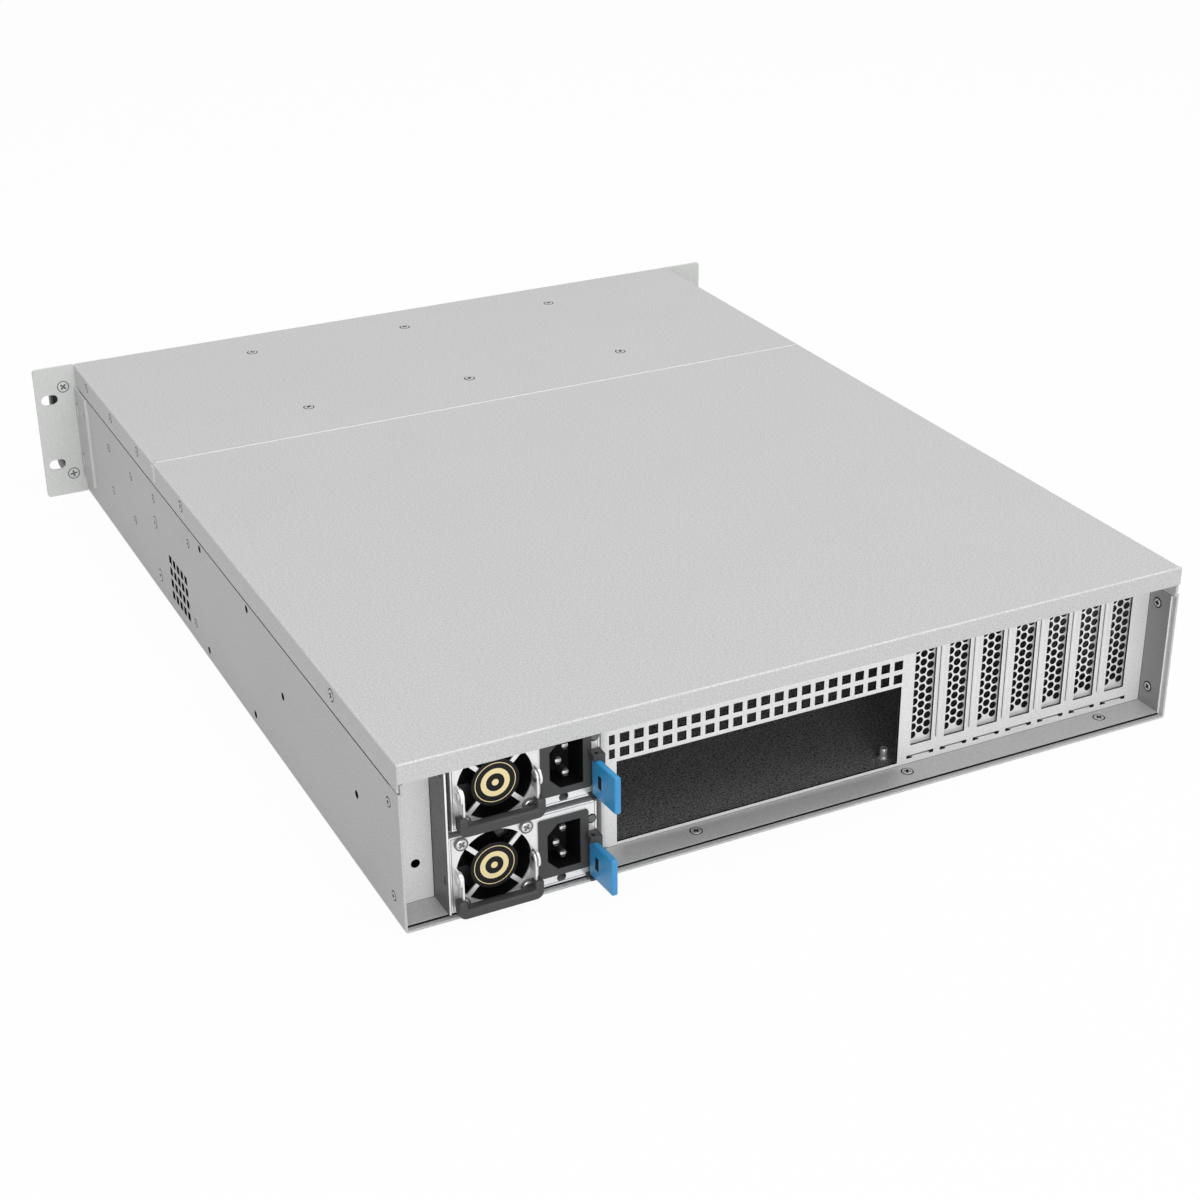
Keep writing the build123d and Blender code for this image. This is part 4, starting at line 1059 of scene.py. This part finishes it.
class CHASSIS_OT_handles(bpy.types.Operator):
    """Moulded grips on sheet arms for the power modules"""
    bl_idname = "chassis.handles"
    bl_label = "Handles"

    def execute(self, context):
        sizes = context.scene.chassis_handles
        for module in MODULES:
            corner = face_corner(module)
            centre = corner.x + FAN_X
            pivot = (corner.y + PIVOT_OUT, corner.z + FAN_Z)
            grip = make_grip(centre, corner.z, corner.y + 2.6, sizes)
            piece = settle(grip, f"moulded_grip_{module}")
            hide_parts(f"psu_{module}_handle")
            dress(piece, "dark_moulding", f"psu_{module}_handle")
            arms = make_arm(-1, centre, pivot, corner.z) + make_arm(1, centre, pivot, corner.z)
            piece = settle(join(arms), f"handle_arms_{module}")
            dress(piece, "bright_sheet", f"psu_{module}_handle")
        return {"FINISHED"}


class CHASSIS_OT_latches(bpy.types.Operator):
    """Blue release latches with rounded edges and a window with painted shade behind it"""
    bl_idname = "chassis.latches"
    bl_label = "Latches"

    def execute(self, context):
        sizes = context.scene.chassis_latches
        for module in MODULES:
            low, high = (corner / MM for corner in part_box(f"psu_{module}_latch"))
            thick = high.x - low.x - sizes.flare / MM
            low = Vector((high.x - thick, low.y, low.z + LATCH_LIFT))
            high = high - Vector((0, 0, LATCH_DROP))
            plate = add_block(low, high)
            tip = (high.y - LATCH_TIP) * MM
            pick(plate, "VERT", lambda corner: corner.co.y > tip)
            bpy.ops.transform.translate(value=(-sizes.flare, 0, 0))
            leave_edit()
            middle = (low.z + high.z) / 2
            half = sizes.window_height / MM / 2
            depth = sizes.window_depth / MM
            start = low.y + WINDOW_START
            end = start + WINDOW_LENGTH
            window = add_block((high.x - depth, start, middle - half),
                               (high.x + 1, end, middle + half))
            # painted shade: a black block behind the window
            back = add_block((high.x - depth - 0.2, start - 0.1, middle - half - 0.1),
                             (high.x - 0.5, end + 0.1, middle + half + 0.1))
            soften(plate, sizes.rounding / MM, 5)
            cut(plate, window)
            dress(settle(soften(back, 0.15, 2), f"latch_window_shade_{module}"),
                  "painted_shadow_black", f"psu_{module}_latch")
            piece = settle(smooth(plate), f"release_latch_{module}")
            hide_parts(f"psu_{module}_latch")
            dress(piece, "latch_plastic", f"psu_{module}_latch")
        return {"FINISHED"}


class CHASSIS_OT_lamps(bpy.types.Operator):
    """Round status lamps beside the inlets"""
    bl_idname = "chassis.lamps"
    bl_label = "Lamps"

    def execute(self, context):
        for module in MODULES:
            seat = face_corner(module) + Vector((LAMP_X, -0.3, LAMP_Z))
            lens = soften(add_disc(seat, REARWARD, LENS_RADIUS, 1.0, 28), 0.6, 4)
            # painted shade: a black ring round the lens
            rim = soften(add_disc(seat, REARWARD, RIM_RADIUS, 0.5, 28), 0.1, 2)
            dress(settle(rim, f"status_lamp_shade_ring_{module}"), "painted_shadow_black",
                  MODULE_BODY[module])
            piece = settle(lens, f"status_lamp_{module}")
            dress(piece, "lamp_lens", MODULE_BODY[module])
        return {"FINISHED"}


FLOOR_WHITE = 0.96  # share of plain white in what the camera sees of the floor


class CHASSIS_OT_stage(bpy.types.Operator):
    """Floor, lamps and camera"""
    bl_idname = "chassis.stage"
    bl_label = "Stage"

    def execute(self, context):
        light = context.scene.chassis_light
        add_floor()
        white_world(light.ambient)
        add_lamp("lamp_overhead", (-0.2, 0.2, 2.2), (0, 0, 0), 2.6, light.key_power)
        add_lamp("lamp_rear", (0.45, 2.5, 0.6), (0, 0.2, 0.05), 1.2, light.rear_power)
        add_camera()
        context.scene.view_settings.view_transform = "Standard"
        return {"FINISHED"}


def seen_straight(tree):
    """1 on camera, glossy and transmission rays, in the tree that asks for it."""
    rays = node(tree, "ShaderNodeLightPath")
    seen = rays.outputs["Is Camera Ray"]
    for kind in ("Is Glossy Ray", "Is Transmission Ray"):
        either = node(tree, "ShaderNodeMath", operation="MAXIMUM")
        tree.links.new(seen, either.inputs[0])
        tree.links.new(rays.outputs[kind], either.inputs[1])
        seen = either.outputs[0]
    return seen


def add_floor():
    """Pale floor that looks white to the camera and keeps a faint shadow."""
    clear_selection()
    bpy.ops.mesh.primitive_plane_add(size=14.0, location=(0, 0, CAD_BOX[0].z - 0.2 * MM))
    floor = bpy.context.object
    floor.name = "studio_floor"
    bpy.ops.object.transform_apply(location=True, rotation=True, scale=True)
    made = bpy.data.materials.new("studio_floor")
    made.use_nodes = True
    tree = made.node_tree
    shader = tree.nodes["Principled BSDF"]
    shader.inputs["Base Color"].default_value = (0.92, 0.92, 0.92, 1.0)
    shader.inputs["Roughness"].default_value = 0.9
    glow = node(tree, "ShaderNodeEmission", Strength=1.0)
    seen = seen_straight(tree)
    share = node(tree, "ShaderNodeMath", operation="MULTIPLY")
    share.inputs[1].default_value = FLOOR_WHITE
    tree.links.new(seen, share.inputs[0])
    mix = node(tree, "ShaderNodeMixShader")
    tree.links.new(share.outputs[0], mix.inputs[0])
    tree.links.new(shader.outputs[0], mix.inputs[1])
    tree.links.new(glow.outputs[0], mix.inputs[2])
    tree.links.new(mix.outputs[0], tree.nodes["Material Output"].inputs["Surface"])
    floor.data.materials.append(made)


def white_world(ambient):
    """Even surrounding light; the camera and reflections see plain white."""
    world = bpy.context.scene.world or bpy.data.worlds.new("studio_world")
    bpy.context.scene.world = world
    world.use_nodes = True
    tree = world.node_tree
    even = tree.nodes["Background"]
    even.inputs["Color"].default_value = (1.0, 1.0, 1.0, 1.0)
    even.inputs["Strength"].default_value = ambient
    white = node(tree, "ShaderNodeBackground", Strength=1.0)
    white.inputs["Color"].default_value = (1.0, 1.0, 1.0, 1.0)
    seen = seen_straight(tree)
    mix = node(tree, "ShaderNodeMixShader")
    tree.links.new(seen, mix.inputs[0])
    tree.links.new(even.outputs[0], mix.inputs[1])
    tree.links.new(white.outputs[0], mix.inputs[2])
    tree.links.new(mix.outputs[0], tree.nodes["World Output"].inputs["Surface"])


def add_lamp(name, place, target, size, power):
    """Square area lamp aimed at a point."""
    clear_selection()
    bpy.ops.object.light_add(type="AREA", location=place)
    lamp = bpy.context.object
    lamp.name = name
    lamp.data.size = size
    lamp.data.energy = power
    aim = Vector(target) - Vector(place)
    lamp.rotation_mode = "QUATERNION"
    lamp.rotation_quaternion = aim.to_track_quat("-Z", "Y")


CAMERA_AZIMUTH = math.radians(153.78)
CAMERA_ELEVATION = math.radians(26.55)
CAMERA_ROLL = math.radians(-0.49)
CAMERA_PLACE = (488.4 * MM, 1035.65 * MM, 566.1 * MM)
FOCAL_PIXELS = 2153.3
PHOTO_PIXELS = 1200.0
SENSOR = 36.0  # its width in millimetres


def add_camera():
    """Camera at the photograph's place and angle."""
    clear_selection()
    bpy.ops.object.camera_add(location=CAMERA_PLACE)
    camera = bpy.context.object
    camera.name = "photo_camera"
    back = Vector((math.sin(CAMERA_AZIMUTH) * math.cos(CAMERA_ELEVATION),
                   -math.cos(CAMERA_AZIMUTH) * math.cos(CAMERA_ELEVATION),
                   math.sin(CAMERA_ELEVATION)))
    camera.rotation_mode = "QUATERNION"
    level = (-back).to_track_quat("-Z", "Y")
    camera.rotation_quaternion = level @ Quaternion((0, 0, 1), CAMERA_ROLL)
    camera.data.sensor_width = SENSOR
    camera.data.lens = FOCAL_PIXELS / PHOTO_PIXELS * SENSOR
    camera.data.clip_start = 0.01
    bpy.context.scene.camera = camera


class CHASSIS_PT_panel(bpy.types.Panel):
    """Lists the sizes, the colours and the steps of the dressing"""
    bl_idname = "CHASSIS_PT_panel"
    bl_label = "Rack chassis"
    bl_space_type = "VIEW_3D"
    bl_region_type = "UI"
    bl_category = "Chassis"

    def draw(self, context):
        for name, group in SETTINGS.items():
            box = self.layout.box()
            for setting in group.__annotations__:
                box.prop(getattr(context.scene, name), setting)
        for step in STEPS:
            self.layout.operator(step.bl_idname)


STEPS = (CHASSIS_OT_finishes, CHASSIS_OT_screws, CHASSIS_OT_slot_covers, CHASSIS_OT_beads,
         CHASSIS_OT_seam, CHASSIS_OT_ear_tabs, CHASSIS_OT_standoffs, CHASSIS_OT_fan_screws,
         CHASSIS_OT_labels, CHASSIS_OT_inlets, CHASSIS_OT_handles, CHASSIS_OT_latches,
         CHASSIS_OT_lamps, CHASSIS_OT_stage)
SETTINGS = {"chassis_finishes": ChassisFinishes, "chassis_screws": ScrewSizes,
            "chassis_slots": SlotCoverSizes, "chassis_handles": HandleSizes,
            "chassis_latches": LatchSizes, "chassis_light": StageLight}
CLASSES = (*SETTINGS.values(), *STEPS, CHASSIS_PT_panel)


def register():
    for made in CLASSES:
        bpy.utils.register_class(made)
    for name, group in SETTINGS.items():
        setattr(bpy.types.Scene, name, PointerProperty(type=group))


def unregister():
    for name in SETTINGS:
        delattr(bpy.types.Scene, name)
    for made in reversed(CLASSES):
        bpy.utils.unregister_class(made)


def main():
    register()
    for step in STEPS:
        group, name = step.bl_idname.split(".")
        getattr(getattr(bpy.ops, group), name)()


if __name__ == "__main__":
    main()
